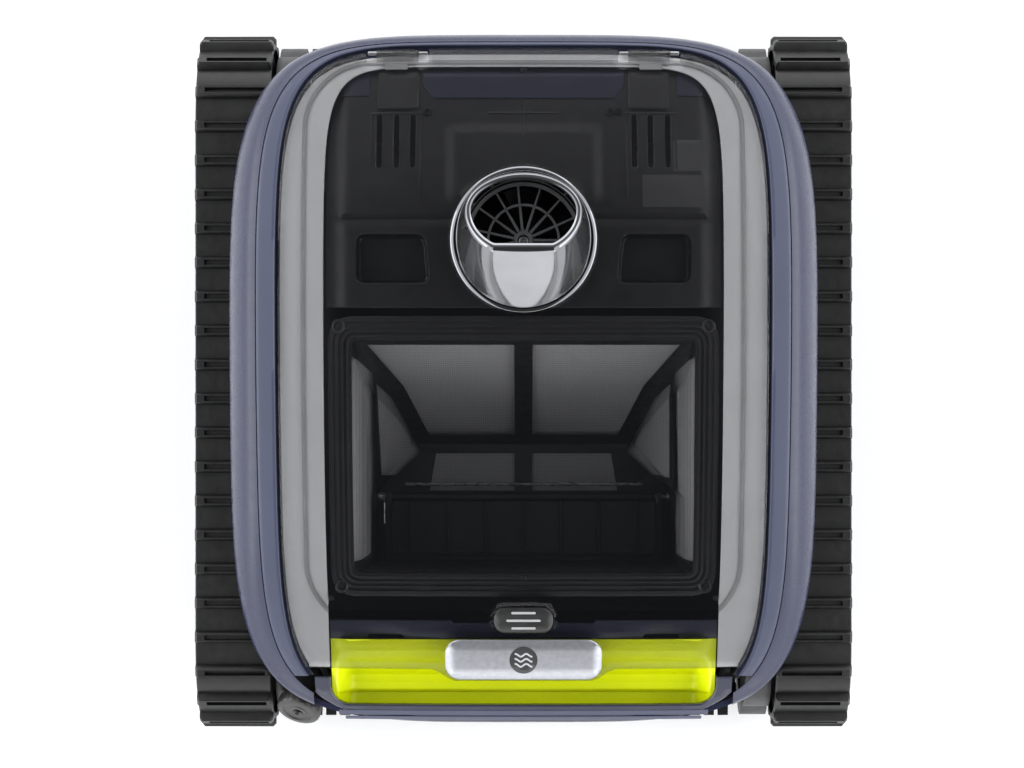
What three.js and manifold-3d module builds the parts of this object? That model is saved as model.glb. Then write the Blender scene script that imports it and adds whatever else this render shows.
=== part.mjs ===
// A tracked robotic swimming-pool cleaner: a black hull between two rubber tracks, a navy shell and rail
// round a clear hinged lid, and under the lid a black hood with the outlet duct and a filter basket.
// Millimetres, +X right, +Y rear, +Z up. The origin is on the floor, under the middle of the tracks.
import * as THREE from "three";
import { mergeVertices } from "three/addons/utils/BufferGeometryUtils.js";
import Module from "manifold-3d";

const wasm = await Module();
wasm.setup();

// ---------------------------------------------------------------- driving dimensions
// The hull's half width and half the wheelbase drive the body: its outlines are given as overhangs past the
// hull, and the front and rear fittings as distances from the lid's ends.
const GAP = 0.4; // clearance between pieces that meet
const WALL = 3; // wall of the moulded parts
const HULL_HALF_WIDTH = 138.5;
const WHEEL_Y = 163.2; // half the wheelbase
const CROWN_HEIGHT = 206; // highest point of the lid

// Tracks and wheels
const TRACK_WIDTH = 46.5;
const TRACK_CLEARANCE = 2; // side frame to track
const TRACK_RADIUS = 57; // over the lugs, where the track turns round a wheel
const LUG_HEIGHT = 5.5;
const LUG_TOP = 5.2;
const LUG_BASE = 7.6;
const LUG_COUNT = 46;
const BELT_THICKNESS = 3.5;
const GUIDE_HEIGHT = 4.4; // rib inside the belt that runs in the wheels' grooves
const GUIDE_WIDTH = 6;
const WHEEL_WIDTH = 42;
const WHEEL_RIM = 6;
const WHEEL_SPOKES = 6;
const AXLE_RADIUS = 5;

// Gears between a wheel, its drive motor and a brush
const GEAR_MODULE = 2;
const WHEEL_TEETH = 22;
const BRUSH_TEETH = 11;
const PINION_TEETH = 9;
const GEAR_WIDTH = 8;
const GEAR_BACKLASH = 0.5;
const AXLE_Z = TRACK_RADIUS;
const pitchRadius = (teeth) => (GEAR_MODULE * teeth) / 2;
const BRUSH_ANGLE = THREE.MathUtils.degToRad(-47.6); // from the wheel's axle to the brush's
const PINION_ANGLE = THREE.MathUtils.degToRad(152.8); // and to the drive motor's
const BRUSH_REACH = pitchRadius(WHEEL_TEETH) + pitchRadius(BRUSH_TEETH);
const PINION_REACH = pitchRadius(WHEEL_TEETH) + pitchRadius(PINION_TEETH);
const BRUSH_Y = WHEEL_Y + BRUSH_REACH * Math.cos(BRUSH_ANGLE);
const BRUSH_Z = AXLE_Z + BRUSH_REACH * Math.sin(BRUSH_ANGLE);
const PINION_Y = WHEEL_Y + PINION_REACH * Math.cos(PINION_ANGLE);
const PINION_Z = AXLE_Z + PINION_REACH * Math.sin(PINION_ANGLE);

// Brushes
const BRUSH_RADIUS = 29.5;
const BRUSH_CORE = 13;
const BRUSH_SHAFT = 6;
const BRUSH_FINS = 8;
const FIN_THICKNESS = 2.4;
const BRUSH_HALF_LENGTH = HULL_HALF_WIDTH - 2.5;

// Hull and the side frames that carry the wheels and brushes
const HULL_HALF_LENGTH = WHEEL_Y + 32.8;
const HULL = { a: HULL_HALF_WIDTH, b: HULL_HALF_LENGTH, n: 9 };
const HULL_BOTTOM = 14;
const FRAME_WIDTH = 16.6;
const FRAME_FACE = 3;
const FRAME_X = { inner: HULL_HALF_WIDTH + GAP, outer: HULL_HALF_WIDTH + GAP + FRAME_WIDTH };

// Body outlines: superellipses about one centre, each an overhang past the hull
const BODY_CENTRE_Y = 0.5;
const pastHull = (sides, ends, n) => ({ a: HULL_HALF_WIDTH + sides, b: HULL_HALF_LENGTH + ends, n });
const SHELL = pastHull(39.8, 15.2, 4.8);
const RAIL_OUTER = pastHull(21.5, 9.2, 5.6);
const RAIL_INNER = pastHull(9.2, 6.8, 6.1);
const LID = pastHull(6.5, 3.6, 6.2);
const DECK_INNER = pastHull(-19.1, -6.4, 8.8);
const OUTLINE_POINTS = 60;

// The domed surface that the top parts follow
const CROWN_Y = 60;
const CROWN_FRONT = { length: HULL_HALF_LENGTH + 40, drop: 64 };
const CROWN_REAR = { length: HULL_HALF_LENGTH - 54, drop: 41 };
const CROWN_SIDE_DROP = 10;
const RAIL_DEPTH = 7;
const TRACK_HEADROOM = 3.5; // shell over the lugs
const BUMPER_DROP = 14;

// Lid, its hinge and latch
const LID_THICKNESS = 3;
const LID_FRONT_Y = -(LID.b - 23.6);
const HINGE = { y: LID.b - 1.2, barrel: 2.2, pin: 1.2, from: 63, to: 89, cheek: 5 };
const PLATE = { halfWidth: 47.8, rear: LID_FRONT_Y + 19, front: LID_FRONT_Y - 6.5, corner: 9, thickness: 3.6 };
const BUTTON = { halfWidth: 18, y: LID_FRONT_Y + 31, halfDepth: 8, height: 7, proud: 1.6, groove: 1.4 };

// Outlet: the duct, and what fits round it and in it
const OUTLET_Y = 84.5;
const DUCT_RADIUS = 35.5;
const OUTLET_RADIUS = DUCT_RADIUS + 8.3;
const MOUTH = {
  halfWidth: DUCT_RADIUS - 1.3, centre: OUTLET_Y + 15.8, halfDepth: DUCT_RADIUS - 12.6, roundness: 27,
  frontZ: CROWN_HEIGHT + 32, rearZ: CROWN_HEIGHT + 7,
};
const GUARD_Z = CROWN_HEIGHT - 24;
const GUARD_RIBS = 15;
const PROPELLER = {
  radius: DUCT_RADIUS - 2.5, bottom: GUARD_Z - 32, height: 16, hub: 8, blades: 4, pitch: 0.9,
};

// Hood under the lid
const HOOD_DROP = 9; // below the lid's top surface
const HOOD_FRONT_Y = OUTLET_Y - 42.5;
const POCKET = { inner: 56, outer: 100, front: 58.5, rear: 88, depth: 13 };
const SLOT = { first: 67.6, pitch: 10, count: 3, width: 3, front: 129, rear: 162.8 };

// Handle, scoop and cross bar at the front
const HANDLE = {
  rear: -(LID.b + 0.2), front: -(LID.b + 11.1), thickness: 12, cornerY: LID_FRONT_Y - 5,
  pocketX: HULL_HALF_WIDTH - 20, halfWidth: HULL_HALF_WIDTH - 9.5,
};
const CROSS_BAR = { front: LID_FRONT_Y + 19, rear: LID_FRONT_Y + 30.5, thickness: 6 };
const SCOOP = { floor: CROWN_HEIGHT - 105, step: HANDLE.rear + 7.8 };

// Deck under the edge of the lid
const DECK_DROP = 4.8;
const SEAL = {
  halfWidth: HULL_HALF_WIDTH - 7, rear: LID.b - 23.6, front: CROSS_BAR.rear - 4.5, corner: 22, width: 2.4,
};

// Filter basket: its rim, the bend half way down its rear wall, and its floor
const BASKET_TOP = {
  x: HULL_HALF_WIDTH - 35.5, rear: HOOD_FRONT_Y - 17, front: CROSS_BAR.rear + 28.9,
  rimWidth: 14, drop: 10, rimHeight: 6,
};
const BASKET_BEND = { x: BASKET_TOP.x - 6, rear: BASKET_TOP.rear - 27, front: BASKET_TOP.front + 1.1, z: 125 };
const BASKET_FLOOR = {
  rearX: BASKET_TOP.x - 37, frontX: BASKET_TOP.x - 9, rear: BASKET_TOP.rear - 65, front: BASKET_TOP.front + 2.1,
  widestY: BASKET_TOP.front + 44.6, z: 46,
};
const BASKET_WALL = 2.4;
const MESH_THICKNESS = 0.8;
const FLAP = {
  halfWidth: BASKET_FLOOR.frontX - 10.5, hingeY: BASKET_FLOOR.front + 41.5, front: BASKET_FLOOR.front + 3.5,
  z: BASKET_FLOOR.z + 20, thickness: 2.4, pin: 1.5, barrel: 2.9, ear: 3.2, ribs: 6,
};

// Inlet in the bottom plate, under the flap
const INLET = { halfWidth: FLAP.halfWidth - 0.5, front: FLAP.front - 1, rear: FLAP.hingeY - 11 };
const PLATE_THICKNESS = 3;

// Motor unit
const DRIVE_MOTOR = { radius: 15, inner: HULL_HALF_WIDTH - 68.5, shaft: 3 };
const MOTOR_CASE = {
  halfWidth: HULL_HALF_WIDTH - 46.5, front: OUTLET_Y - 76.5, rear: PINION_Y - DRIVE_MOTOR.radius - 3.6,
  bottom: 24, top: 104,
};
const PUMP_MOTOR = { radius: 24, bottom: MOTOR_CASE.bottom + 10, top: MOTOR_CASE.top - 4, shaft: 3 };

// ---------------------------------------------------------------- worked out from them
const TRACK_INNER_X = FRAME_X.outer + TRACK_CLEARANCE;
const TRACK_OUTER_X = TRACK_INNER_X + TRACK_WIDTH;
const TRACK_MID_X = TRACK_INNER_X + TRACK_WIDTH / 2;
const BELT_MID_RADIUS = TRACK_RADIUS - LUG_HEIGHT - BELT_THICKNESS / 2;
const WHEEL_RADIUS = BELT_MID_RADIUS - BELT_THICKNESS / 2 - GAP;
const TRACK_LENGTH = 4 * WHEEL_Y + 2 * Math.PI * BELT_MID_RADIUS;
const GEAR_X = FRAME_X.inner + 1.5;
const [FAR_X, FAR_Y, FAR_Z] = [2 * HULL_HALF_WIDTH, 2 * HULL_HALF_LENGTH, 2 * CROWN_HEIGHT]; // past every part

// Height of the lid's top surface, which the deck, hood, rail and shell are measured down from.
function crown(x, y) {
  const side = y > CROWN_Y ? CROWN_REAR : CROWN_FRONT;
  const along = side.drop * ((y - CROWN_Y) / side.length) ** 2;
  const across = CROWN_SIDE_DROP * (Math.abs(x) / LID.a) ** 2.4;
  return CROWN_HEIGHT - along - across;
}

// Cable gland: the centre of its face, and the direction that it points in. It ends clear of the wheel's gear.
const GLAND = { axis: [-0.25, -0.79, 0.56], radius: 12.4, nutRadius: 14, bore: 2, clearance: 2.4 };
const GLAND_X = -(HULL_HALF_WIDTH + 2.9);
const GLAND_Y = -(SHELL.b - 3.6);
const GLAND_Z = crown(GLAND_X, GLAND_Y) - 16.3;
const GLAND_LENGTH = Math.hypot(GLAND_Y + WHEEL_Y, GLAND_Z - AXLE_Z)
  - pitchRadius(WHEEL_TEETH) - GEAR_MODULE - GLAND.clearance;

// ---------------------------------------------------------------- geometry helpers
// A closed grid of points becomes one body; its faces are turned outwards by the sign of its volume.
function bodyOf(points, triangles) {
  const position = new Float32Array(points.flatMap((p) => [p.x, p.y, p.z]));
  let volume = 0;
  for (const [a, b, c] of triangles) {
    volume += points[a].dot(new THREE.Vector3().crossVectors(points[b], points[c]));
  }
  const index = triangles.flatMap(([a, b, c]) => (volume < 0 ? [a, c, b] : [a, b, c]));
  const geometry = new THREE.BufferGeometry();
  geometry.setAttribute("position", new THREE.BufferAttribute(position, 3));
  geometry.setIndex(index);
  return geometry;
}

// Closed loops of equal length, joined in turn; the last joins the first, or both ends are capped.
function loft(loops, { closed = false } = {}) {
  const count = loops[0].length;
  const points = loops.flat();
  const triangles = [];
  const rows = closed ? loops.length : loops.length - 1;
  for (let row = 0; row < rows; row++) {
    const here = row * count;
    const next = ((row + 1) % loops.length) * count;
    for (let i = 0; i < count; i++) {
      const j = (i + 1) % count;
      triangles.push([here + i, here + j, next + j], [here + i, next + j, next + i]);
    }
  }
  if (!closed) {
    const last = (loops.length - 1) * count;
    for (const [loop, start, flip] of [[loops[0], 0, true], [loops.at(-1), last, false]]) {
      const centre = points.length;
      points.push(loop.reduce((sum, p) => sum.add(p), new THREE.Vector3()).divideScalar(count));
      for (let i = 0; i < count; i++) {
        const pair = [start + i, start + ((i + 1) % count)];
        triangles.push(flip ? [centre, pair[1], pair[0]] : [centre, pair[0], pair[1]]);
      }
    }
  }
  return bodyOf(points, triangles);
}

function solid(geometry) {
  const bare = geometry.clone();
  bare.deleteAttribute("normal");
  bare.deleteAttribute("uv");
  const merged = mergeVertices(bare, 1e-4);
  return new wasm.Manifold(
    new wasm.Mesh({
      numProp: 3,
      vertProperties: merged.attributes.position.array,
      triVerts: new Uint32Array(merged.index.array),
    }),
  );
}

function geometryOf(manifold) {
  const mesh = manifold.getMesh();
  const position = new Float32Array(mesh.numVert * 3);
  for (let i = 0; i < mesh.numVert; i++) {
    position.set(mesh.vertProperties.subarray(i * mesh.numProp, i * mesh.numProp + 3), i * 3);
  }
  const geometry = new THREE.BufferGeometry();
  geometry.setAttribute("position", new THREE.BufferAttribute(position, 3));
  geometry.setIndex(new THREE.BufferAttribute(mesh.triVerts, 1));
  return geometry;
}

const tidy = (manifold) => geometryOf(manifold.asOriginal().simplify(0.05));
const join = (first, ...rest) => tidy(rest.reduce((sum, g) => sum.add(solid(g)), solid(first)));
const cut = (body, ...tools) => tidy(tools.reduce((left, g) => left.subtract(solid(g)), solid(body)));
const keep = (body, within) => tidy(solid(body).intersect(solid(within)));

function box(x0, x1, y0, y1, z0, z1) {
  const geometry = new THREE.BoxGeometry(x1 - x0, y1 - y0, z1 - z0);
  return geometry.translate((x0 + x1) / 2, (y0 + y1) / 2, (z0 + z1) / 2);
}

// Extrudes an outline of [u, v] points: along Z from the XY plane, or along X from the YZ plane.
function prism(outline, from, to, axis = "z", holes = []) {
  const shape = new THREE.Shape(outline.map(([u, v]) => new THREE.Vector2(u, v)));
  shape.holes = holes.map((hole) => new THREE.Path(hole.map(([u, v]) => new THREE.Vector2(u, v))));
  const geometry = new THREE.ExtrudeGeometry(shape, { depth: to - from, bevelEnabled: false });
  geometry.translate(0, 0, from);
  if (axis === "x") {
    geometry.applyMatrix4(new THREE.Matrix4().makeBasis(
      new THREE.Vector3(0, 1, 0), new THREE.Vector3(0, 0, 1), new THREE.Vector3(1, 0, 0)));
  }
  return geometry;
}

// Turns a closed profile of [radius, height] points about Z, or about X.
function turned(profile, segments, axis = "z") {
  const points = [...profile, profile[0]].map(([r, h]) => new THREE.Vector2(r, h));
  const geometry = new THREE.LatheGeometry(points, segments);
  return axis === "x" ? geometry.rotateZ(-Math.PI / 2) : geometry.rotateX(Math.PI / 2);
}

const rod = (radius, from, to, segments, axis = "z") =>
  turned([[0, from], [radius, from], [radius, to], [0, to]], segments, axis);
const tube = (bore, radius, from, to, segments, axis = "z") =>
  turned([[bore, from], [radius, from], [radius, to], [bore, to]], segments, axis);

// A superellipse about the body's centre, its points evenly spaced and starting at the front.
function superellipse({ a, b, n }, count = OUTLINE_POINTS) {
  const fine = [];
  const steps = 720;
  for (let i = 0; i <= steps; i++) {
    const t = (i / steps) * 2 * Math.PI - Math.PI / 2;
    const radius = (Math.abs(Math.cos(t) / a) ** n + Math.abs(Math.sin(t) / b) ** n) ** (-1 / n);
    fine.push(new THREE.Vector2(radius * Math.cos(t), BODY_CENTRE_Y + radius * Math.sin(t)));
  }
  return evenly(fine, count);
}

function evenly(fine, count) {
  const lengths = [0];
  for (let i = 1; i < fine.length; i++) lengths.push(lengths[i - 1] + fine[i].distanceTo(fine[i - 1]));
  const result = [];
  for (let k = 0, i = 1; k < count; k++) {
    const at = (k / count) * lengths.at(-1);
    while (lengths[i] < at) i++;
    result.push(fine[i - 1].clone().lerp(fine[i], (at - lengths[i - 1]) / (lengths[i] - lengths[i - 1])));
  }
  return result;
}

const inFrontOf = (y) => box(-FAR_X, FAR_X, -FAR_Y, y, 0, FAR_Z);
const planOf = (outline) => outline.map((p) => [p.x, p.y]);

function roundedRectangle(x0, x1, y0, y1, radius, steps = 4) {
  const points = [];
  for (const [cx, cy, start] of [
    [x1 - radius, y0 + radius, -Math.PI / 2], [x1 - radius, y1 - radius, 0],
    [x0 + radius, y1 - radius, Math.PI / 2], [x0 + radius, y0 + radius, Math.PI],
  ]) {
    for (let i = 0; i <= steps; i++) {
      const t = start + (i / steps) * (Math.PI / 2);
      points.push([cx + radius * Math.cos(t), cy + radius * Math.sin(t)]);
    }
  }
  return points;
}

// Splits the long edges of an outline. The pieces per edge come from its corners' order, so two outlines
// that only differ in size are split alike.
function divided(outline, longest) {
  return outline.flatMap(([x, y], i) => {
    const [nx, ny] = outline[(i + 1) % outline.length];
    const length = Math.hypot(nx - x, ny - y);
    const pieces = length > 2 * longest ? Math.round(length / longest / 4) * 4 : 1;
    return Array.from({ length: pieces }, (_, k) =>
      new THREE.Vector2(x, y).lerp(new THREE.Vector2(nx, ny), k / pieces));
  });
}

// Grows an oval ring outline or shrinks it: the same superellipse with both half axes changed.
const grown = ({ a, b, n }, by) => ({ a: a + by, b: b + by, n });

// A sheet between an inner and an outer outline, on the crown: `top` and `bottom` are measured down from it.
function crownSheet(inner, outer, top, bottom, steps) {
  const row = (t, drop) => inner.map((p, i) => {
    const q = p.clone().lerp(outer[i], t);
    return new THREE.Vector3(q.x, q.y, crown(q.x, q.y) - drop);
  });
  const loops = [];
  for (let s = 0; s <= steps; s++) loops.push(row(s / steps, top));
  for (let s = steps; s >= 0; s--) loops.push(row(s / steps, bottom));
  return loft(loops, { closed: true });
}

// A slab of the crown over a plan outline, cut from a grid that is wide enough to cover it. The crown bends
// more along the cleaner than across it, so the cells are longer across.
function crownSlab(outline, top, bottom, cell = 18) {
  const xs = outline.map((p) => p[0]);
  const ys = outline.map((p) => p[1]);
  const [x0, x1, y0, y1] = [Math.min(...xs) - 1, Math.max(...xs) + 1, Math.min(...ys) - 1, Math.max(...ys) + 1];
  const across = 2 * Math.max(1, Math.ceil((x1 - x0) / (4 * cell)));
  const along = Math.max(2, Math.ceil((y1 - y0) / cell));
  const rows = [];
  for (let j = 0; j <= along; j++) {
    const y = THREE.MathUtils.lerp(y0, y1, j / along);
    const line = (drop) => Array.from({ length: across + 1 }, (_, i) => {
      const x = THREE.MathUtils.lerp(x0, x1, i / across);
      return new THREE.Vector3(x, y, crown(x, y) - drop);
    });
    rows.push([...line(top), ...line(bottom).reverse()]);
  }
  return keep(slabOf(rows, across), prism(outline, 0, CROWN_HEIGHT + 50));
}

// Rows of section points that run out along the top and back along the bottom, with flat ends.
function slabOf(rows, across) {
  const count = rows[0].length;
  const triangles = [];
  for (let row = 0; row < rows.length - 1; row++) {
    for (let i = 0; i < count; i++) {
      const [a, b] = [row * count + i, row * count + ((i + 1) % count)];
      triangles.push([a, b, b + count], [a, b + count, a + count]);
    }
  }
  for (const [start, flip] of [[0, true], [(rows.length - 1) * count, false]]) {
    for (let i = 0; i < across; i++) {
      const quad = [start + i, start + i + 1, start + count - 2 - i, start + count - 1 - i];
      const faces = [[quad[0], quad[1], quad[2]], [quad[0], quad[2], quad[3]]];
      triangles.push(...(flip ? faces.map(([a, b, c]) => [a, c, b]) : faces));
    }
  }
  return bodyOf(rows.flat(), triangles);
}

// ---------------------------------------------------------------- materials
const paint = (color, roughness, metalness = 0, extra = {}) =>
  new THREE.MeshStandardMaterial({ color, roughness, metalness, ...extra });
const MATERIALS = {
  navy: paint(0x2c3354, 0.22),
  black: paint(0x1c1c1e, 0.5),
  hood: paint(0x242426, 0.4),
  rubber: paint(0x1d1d1d, 0.7),
  grey: paint(0x9a9a9c, 0.45),
  yellow: paint(0xe6ee00, 0.35),
  smoke: paint(0x6a6e74, 0.08, 0, { transparent: true, opacity: 0.35 }),
  chrome: paint(0x8a8a8c, 0.12, 0.9),
  silver: paint(0xb4b7bd, 0.3, 0.7),
  steel: paint(0xc0c2c4, 0.3, 1),
  mesh: paint(0x8c8c8c, 0.8),
  acetal: paint(0xd8d8d2, 0.45),
  board: paint(0x1f5a34, 0.5),
};

const cleaner = new THREE.Group();
function add(name, geometry, material) {
  const mesh = new THREE.Mesh(geometry, material);
  mesh.name = name;
  cleaner.add(mesh);
  return mesh;
}

// ---------------------------------------------------------------- tracks
// A point of the track's loop: how far round it is, and how far outside the belt's middle line.
function onTrack(distance, offset) {
  const quarter = (Math.PI / 2) * BELT_MID_RADIUS;
  const straight = 2 * WHEEL_Y;
  const radius = BELT_MID_RADIUS + offset;
  const s = ((distance % TRACK_LENGTH) + TRACK_LENGTH) % TRACK_LENGTH;
  const around = (centre, angle) => [centre + radius * Math.cos(angle), AXLE_Z + radius * Math.sin(angle)];
  if (s < quarter) return around(WHEEL_Y, s / BELT_MID_RADIUS);
  if (s < quarter + straight) return [WHEEL_Y - (s - quarter), AXLE_Z + radius];
  if (s < 3 * quarter + straight) return around(-WHEEL_Y, (s - straight) / BELT_MID_RADIUS);
  if (s < 3 * quarter + 2 * straight) return [-WHEEL_Y + (s - 3 * quarter - straight), AXLE_Z - radius];
  return around(WHEEL_Y, (s - 2 * straight) / BELT_MID_RADIUS);
}

function loopOutline(offset, steps) {
  const points = [];
  const half = Math.PI / steps;
  for (const [centre, start] of [[WHEEL_Y, -Math.PI / 2], [-WHEEL_Y, Math.PI / 2]]) {
    for (let i = 0; i <= steps; i++) {
      const angle = start + i * half;
      const radius = BELT_MID_RADIUS + offset;
      points.push([centre + radius * Math.cos(angle), AXLE_Z + radius * Math.sin(angle)]);
    }
  }
  return points;
}

function trackGeometry(side) {
  const pitch = TRACK_LENGTH / LUG_COUNT;
  const beltOuter = BELT_THICKNESS / 2;
  const outline = [];
  for (let k = 0; k < LUG_COUNT; k++) {
    const at = k * pitch;
    outline.push(onTrack(at - LUG_BASE / 2, beltOuter), onTrack(at - LUG_TOP / 2, beltOuter + LUG_HEIGHT));
    outline.push(onTrack(at + LUG_TOP / 2, beltOuter + LUG_HEIGHT), onTrack(at + LUG_BASE / 2, beltOuter));
  }
  const [from, to] = side > 0 ? [TRACK_INNER_X, TRACK_OUTER_X] : [-TRACK_OUTER_X, -TRACK_INNER_X];
  const belt = prism(outline, from, to, "x", [loopOutline(-BELT_THICKNESS / 2, 14)]);
  const middle = side * TRACK_MID_X;
  const [guideFrom, guideTo] = [middle - GUIDE_WIDTH / 2, middle + GUIDE_WIDTH / 2];
  const guide = prism(loopOutline(-BELT_THICKNESS / 2 + 0.5, 14), guideFrom, guideTo,
    "x", [loopOutline(-BELT_THICKNESS / 2 - GUIDE_HEIGHT, 14)]);
  return join(belt, guide);
}

// ---------------------------------------------------------------- wheels, axles and gears
function wheelGeometry() {
  const half = WHEEL_WIDTH / 2;
  const inside = WHEEL_RADIUS - WHEEL_RIM - 2;
  const groove = WHEEL_RADIUS - GUIDE_HEIGHT - 1;
  const grooveHalf = GUIDE_WIDTH / 2 + 1;
  const hub = AXLE_RADIUS + 8;
  const bore = AXLE_RADIUS + GAP / 2;
  const profile = [
    [bore, -half + 2], [hub, -half + 2], [hub, half - 10], [inside, half - 10], [inside, -half],
    [WHEEL_RADIUS, -half], [WHEEL_RADIUS, -grooveHalf], [groove, -grooveHalf], [groove, grooveHalf],
    [WHEEL_RADIUS, grooveHalf], [WHEEL_RADIUS, half], [inside, half], [inside, half - 5], [hub, half - 5],
    [hub, half - 2], [bore, half - 2],
  ];
  const windows = [];
  for (let k = 0; k < WHEEL_SPOKES; k++) {
    const turn = ((k + 0.5) / WHEEL_SPOKES) * 2 * Math.PI;
    const spread = Math.PI / WHEEL_SPOKES - 0.17;
    const [near, far] = [hub + 4, inside - 4];
    const corners = [[near, -spread], [far, -spread], [far + 1, 0], [far, spread], [near, spread]];
    const outline = corners.map(([r, t]) => [r * Math.cos(turn + t), r * Math.sin(turn + t)]);
    windows.push(prism(outline, -half, half, "x"));
  }
  return cut(turned(profile, 24, "x"), ...windows);
}

// Straight-sided teeth on the true pitch, thinned for backlash; `turn` puts a tooth at that angle.
function gearOutline(teeth, turn) {
  const radius = pitchRadius(teeth);
  const tip = radius + 0.75 * GEAR_MODULE;
  const root = radius - 0.95 * GEAR_MODULE;
  const half = (Math.PI * GEAR_MODULE) / 4 - GEAR_BACKLASH / 2;
  const slope = Math.tan(THREE.MathUtils.degToRad(22));
  const atTip = (half - slope * (tip - radius)) / tip;
  const atRoot = (half + 0.5 * slope * (radius - root)) / root;
  const points = [];
  for (let k = 0; k < teeth; k++) {
    const centre = turn + (k / teeth) * 2 * Math.PI;
    for (const [r, t] of [[root, -atRoot], [tip, -atTip], [tip, atTip], [root, atRoot]]) {
      points.push([r * Math.cos(centre + t), r * Math.sin(centre + t)]);
    }
  }
  return points;
}

// The turn of a gear that meshes with a wheel gear whose tooth stands at `turn`, along the line `angle`.
function meshedTurn(turn, angle, teeth) {
  const pitch = (2 * Math.PI) / WHEEL_TEETH;
  const ahead = turn + Math.round((angle - turn) / pitch) * pitch - angle;
  return angle + Math.PI + Math.PI / teeth - ahead * (WHEEL_TEETH / teeth);
}

const ring = (radius, segments) => Array.from({ length: segments }, (_, i) => {
  const t = (i / segments) * 2 * Math.PI;
  return [radius * Math.cos(t), radius * Math.sin(t)];
});
const gear = (teeth, turn, bore) => prism(gearOutline(teeth, turn), 0, GEAR_WIDTH, "x", [ring(bore, 12)]);
const place = (geometry, x, y, z) => geometry.translate(x, y, z);
// The lower X of a piece of that width, on the right or, mirrored, on the left.
const sideX = (side, inner, width) => (side > 0 ? inner : -inner - width);

const AXLE_LENGTH = TRACK_OUTER_X - FRAME_X.inner - 2;
const BORE = AXLE_RADIUS + GAP / 2;

// end: +1 at the rear, -1 at the front. Each brush is driven from one side: the front one from the left.
const brushSide = (end) => (end > 0 ? 1 : -1);
const wheelGearTurn = (end) => (end > 0 ? BRUSH_ANGLE : Math.PI - BRUSH_ANGLE);
const endName = (end) => (end > 0 ? "rear" : "front");
const sideName = (side) => (side > 0 ? "right" : "left");

for (const side of [-1, 1]) {
  add(`${sideName(side)}_track`, trackGeometry(side), MATERIALS.rubber);
  for (const end of [-1, 1]) {
    const corner = `${sideName(side)}_${endName(end)}`;
    const wheel = wheelGeometry();
    if (side < 0) wheel.rotateZ(Math.PI);
    add(`${corner}_wheel`, place(wheel, side * TRACK_MID_X, end * WHEEL_Y, AXLE_Z), MATERIALS.black);
    const axle = rod(AXLE_RADIUS, 0, AXLE_LENGTH, 16, "x");
    const inner = sideX(side, FRAME_X.inner + 1, AXLE_LENGTH);
    add(`${corner}_axle`, place(axle, inner, end * WHEEL_Y, AXLE_Z), MATERIALS.steel);
    const hasGear = end > 0 || side === brushSide(end);
    if (hasGear) {
      const wheelGear = gear(WHEEL_TEETH, wheelGearTurn(end), BORE);
      place(wheelGear, sideX(side, GEAR_X, GEAR_WIDTH), end * WHEEL_Y, AXLE_Z);
      add(`${corner}_wheel_gear`, wheelGear, MATERIALS.acetal);
    }
  }
  const pinionTurn = meshedTurn(wheelGearTurn(1), PINION_ANGLE, PINION_TEETH);
  const pinion = gear(PINION_TEETH, pinionTurn, DRIVE_MOTOR.shaft + GAP / 2);
  place(pinion, sideX(side, GEAR_X, GEAR_WIDTH), PINION_Y, PINION_Z);
  add(`${sideName(side)}_motor_pinion`, pinion, MATERIALS.acetal);
}

// ---------------------------------------------------------------- brushes
function brushSleeve() {
  const outline = [];
  const half = Math.asin(FIN_THICKNESS / 2 / BRUSH_CORE);
  for (let k = 0; k < BRUSH_FINS; k++) {
    const centre = (k / BRUSH_FINS) * 2 * Math.PI;
    const next = ((k + 0.5) / BRUSH_FINS) * 2 * Math.PI;
    const lean = 0.12;
    const tipHalf = FIN_THICKNESS / 2 / BRUSH_RADIUS;
    outline.push([BRUSH_CORE, centre - half], [BRUSH_RADIUS, centre + lean - tipHalf]);
    outline.push([BRUSH_RADIUS, centre + lean + tipHalf], [BRUSH_CORE, centre + half], [BRUSH_CORE, next]);
  }
  const points = outline.map(([r, t]) => [r * Math.cos(t), r * Math.sin(t)]);
  return prism(points, -BRUSH_HALF_LENGTH, BRUSH_HALF_LENGTH, "x", [ring(BRUSH_SHAFT + GAP / 2, 14)]);
}

for (const end of [-1, 1]) {
  const [y, z] = [end * BRUSH_Y, BRUSH_Z];
  const name = `${endName(end)}_brush`;
  add(name, place(brushSleeve(), 0, y, z), MATERIALS.rubber);
  const reach = FRAME_X.outer - FRAME_FACE - GAP;
  add(`${name}_shaft`, place(rod(BRUSH_SHAFT, -reach, reach, 14, "x"), 0, y, z), MATERIALS.steel);
  const side = brushSide(end);
  const angle = end > 0 ? BRUSH_ANGLE : Math.PI - BRUSH_ANGLE;
  const brushGear = gear(BRUSH_TEETH, meshedTurn(wheelGearTurn(end), angle, BRUSH_TEETH), BRUSH_SHAFT + GAP / 2);
  add(`${name}_gear`, place(brushGear, sideX(side, GEAR_X, GEAR_WIDTH), y, z), MATERIALS.acetal);
}

// ---------------------------------------------------------------- side frames and side covers
const glandAxis = new THREE.Vector3(...GLAND.axis).normalize();
const glandFace = new THREE.Vector3(GLAND_X, GLAND_Y, GLAND_Z);

// Along the gland: heights are measured back from its face.
function alongGland(geometry) {
  geometry.applyQuaternion(new THREE.Quaternion().setFromUnitVectors(new THREE.Vector3(0, 0, 1), glandAxis));
  return geometry.translate(glandFace.x, glandFace.y, glandFace.z);
}

const glandPassage = () => alongGland(rod(GLAND.radius + GAP, -80, 20, 20));

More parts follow.
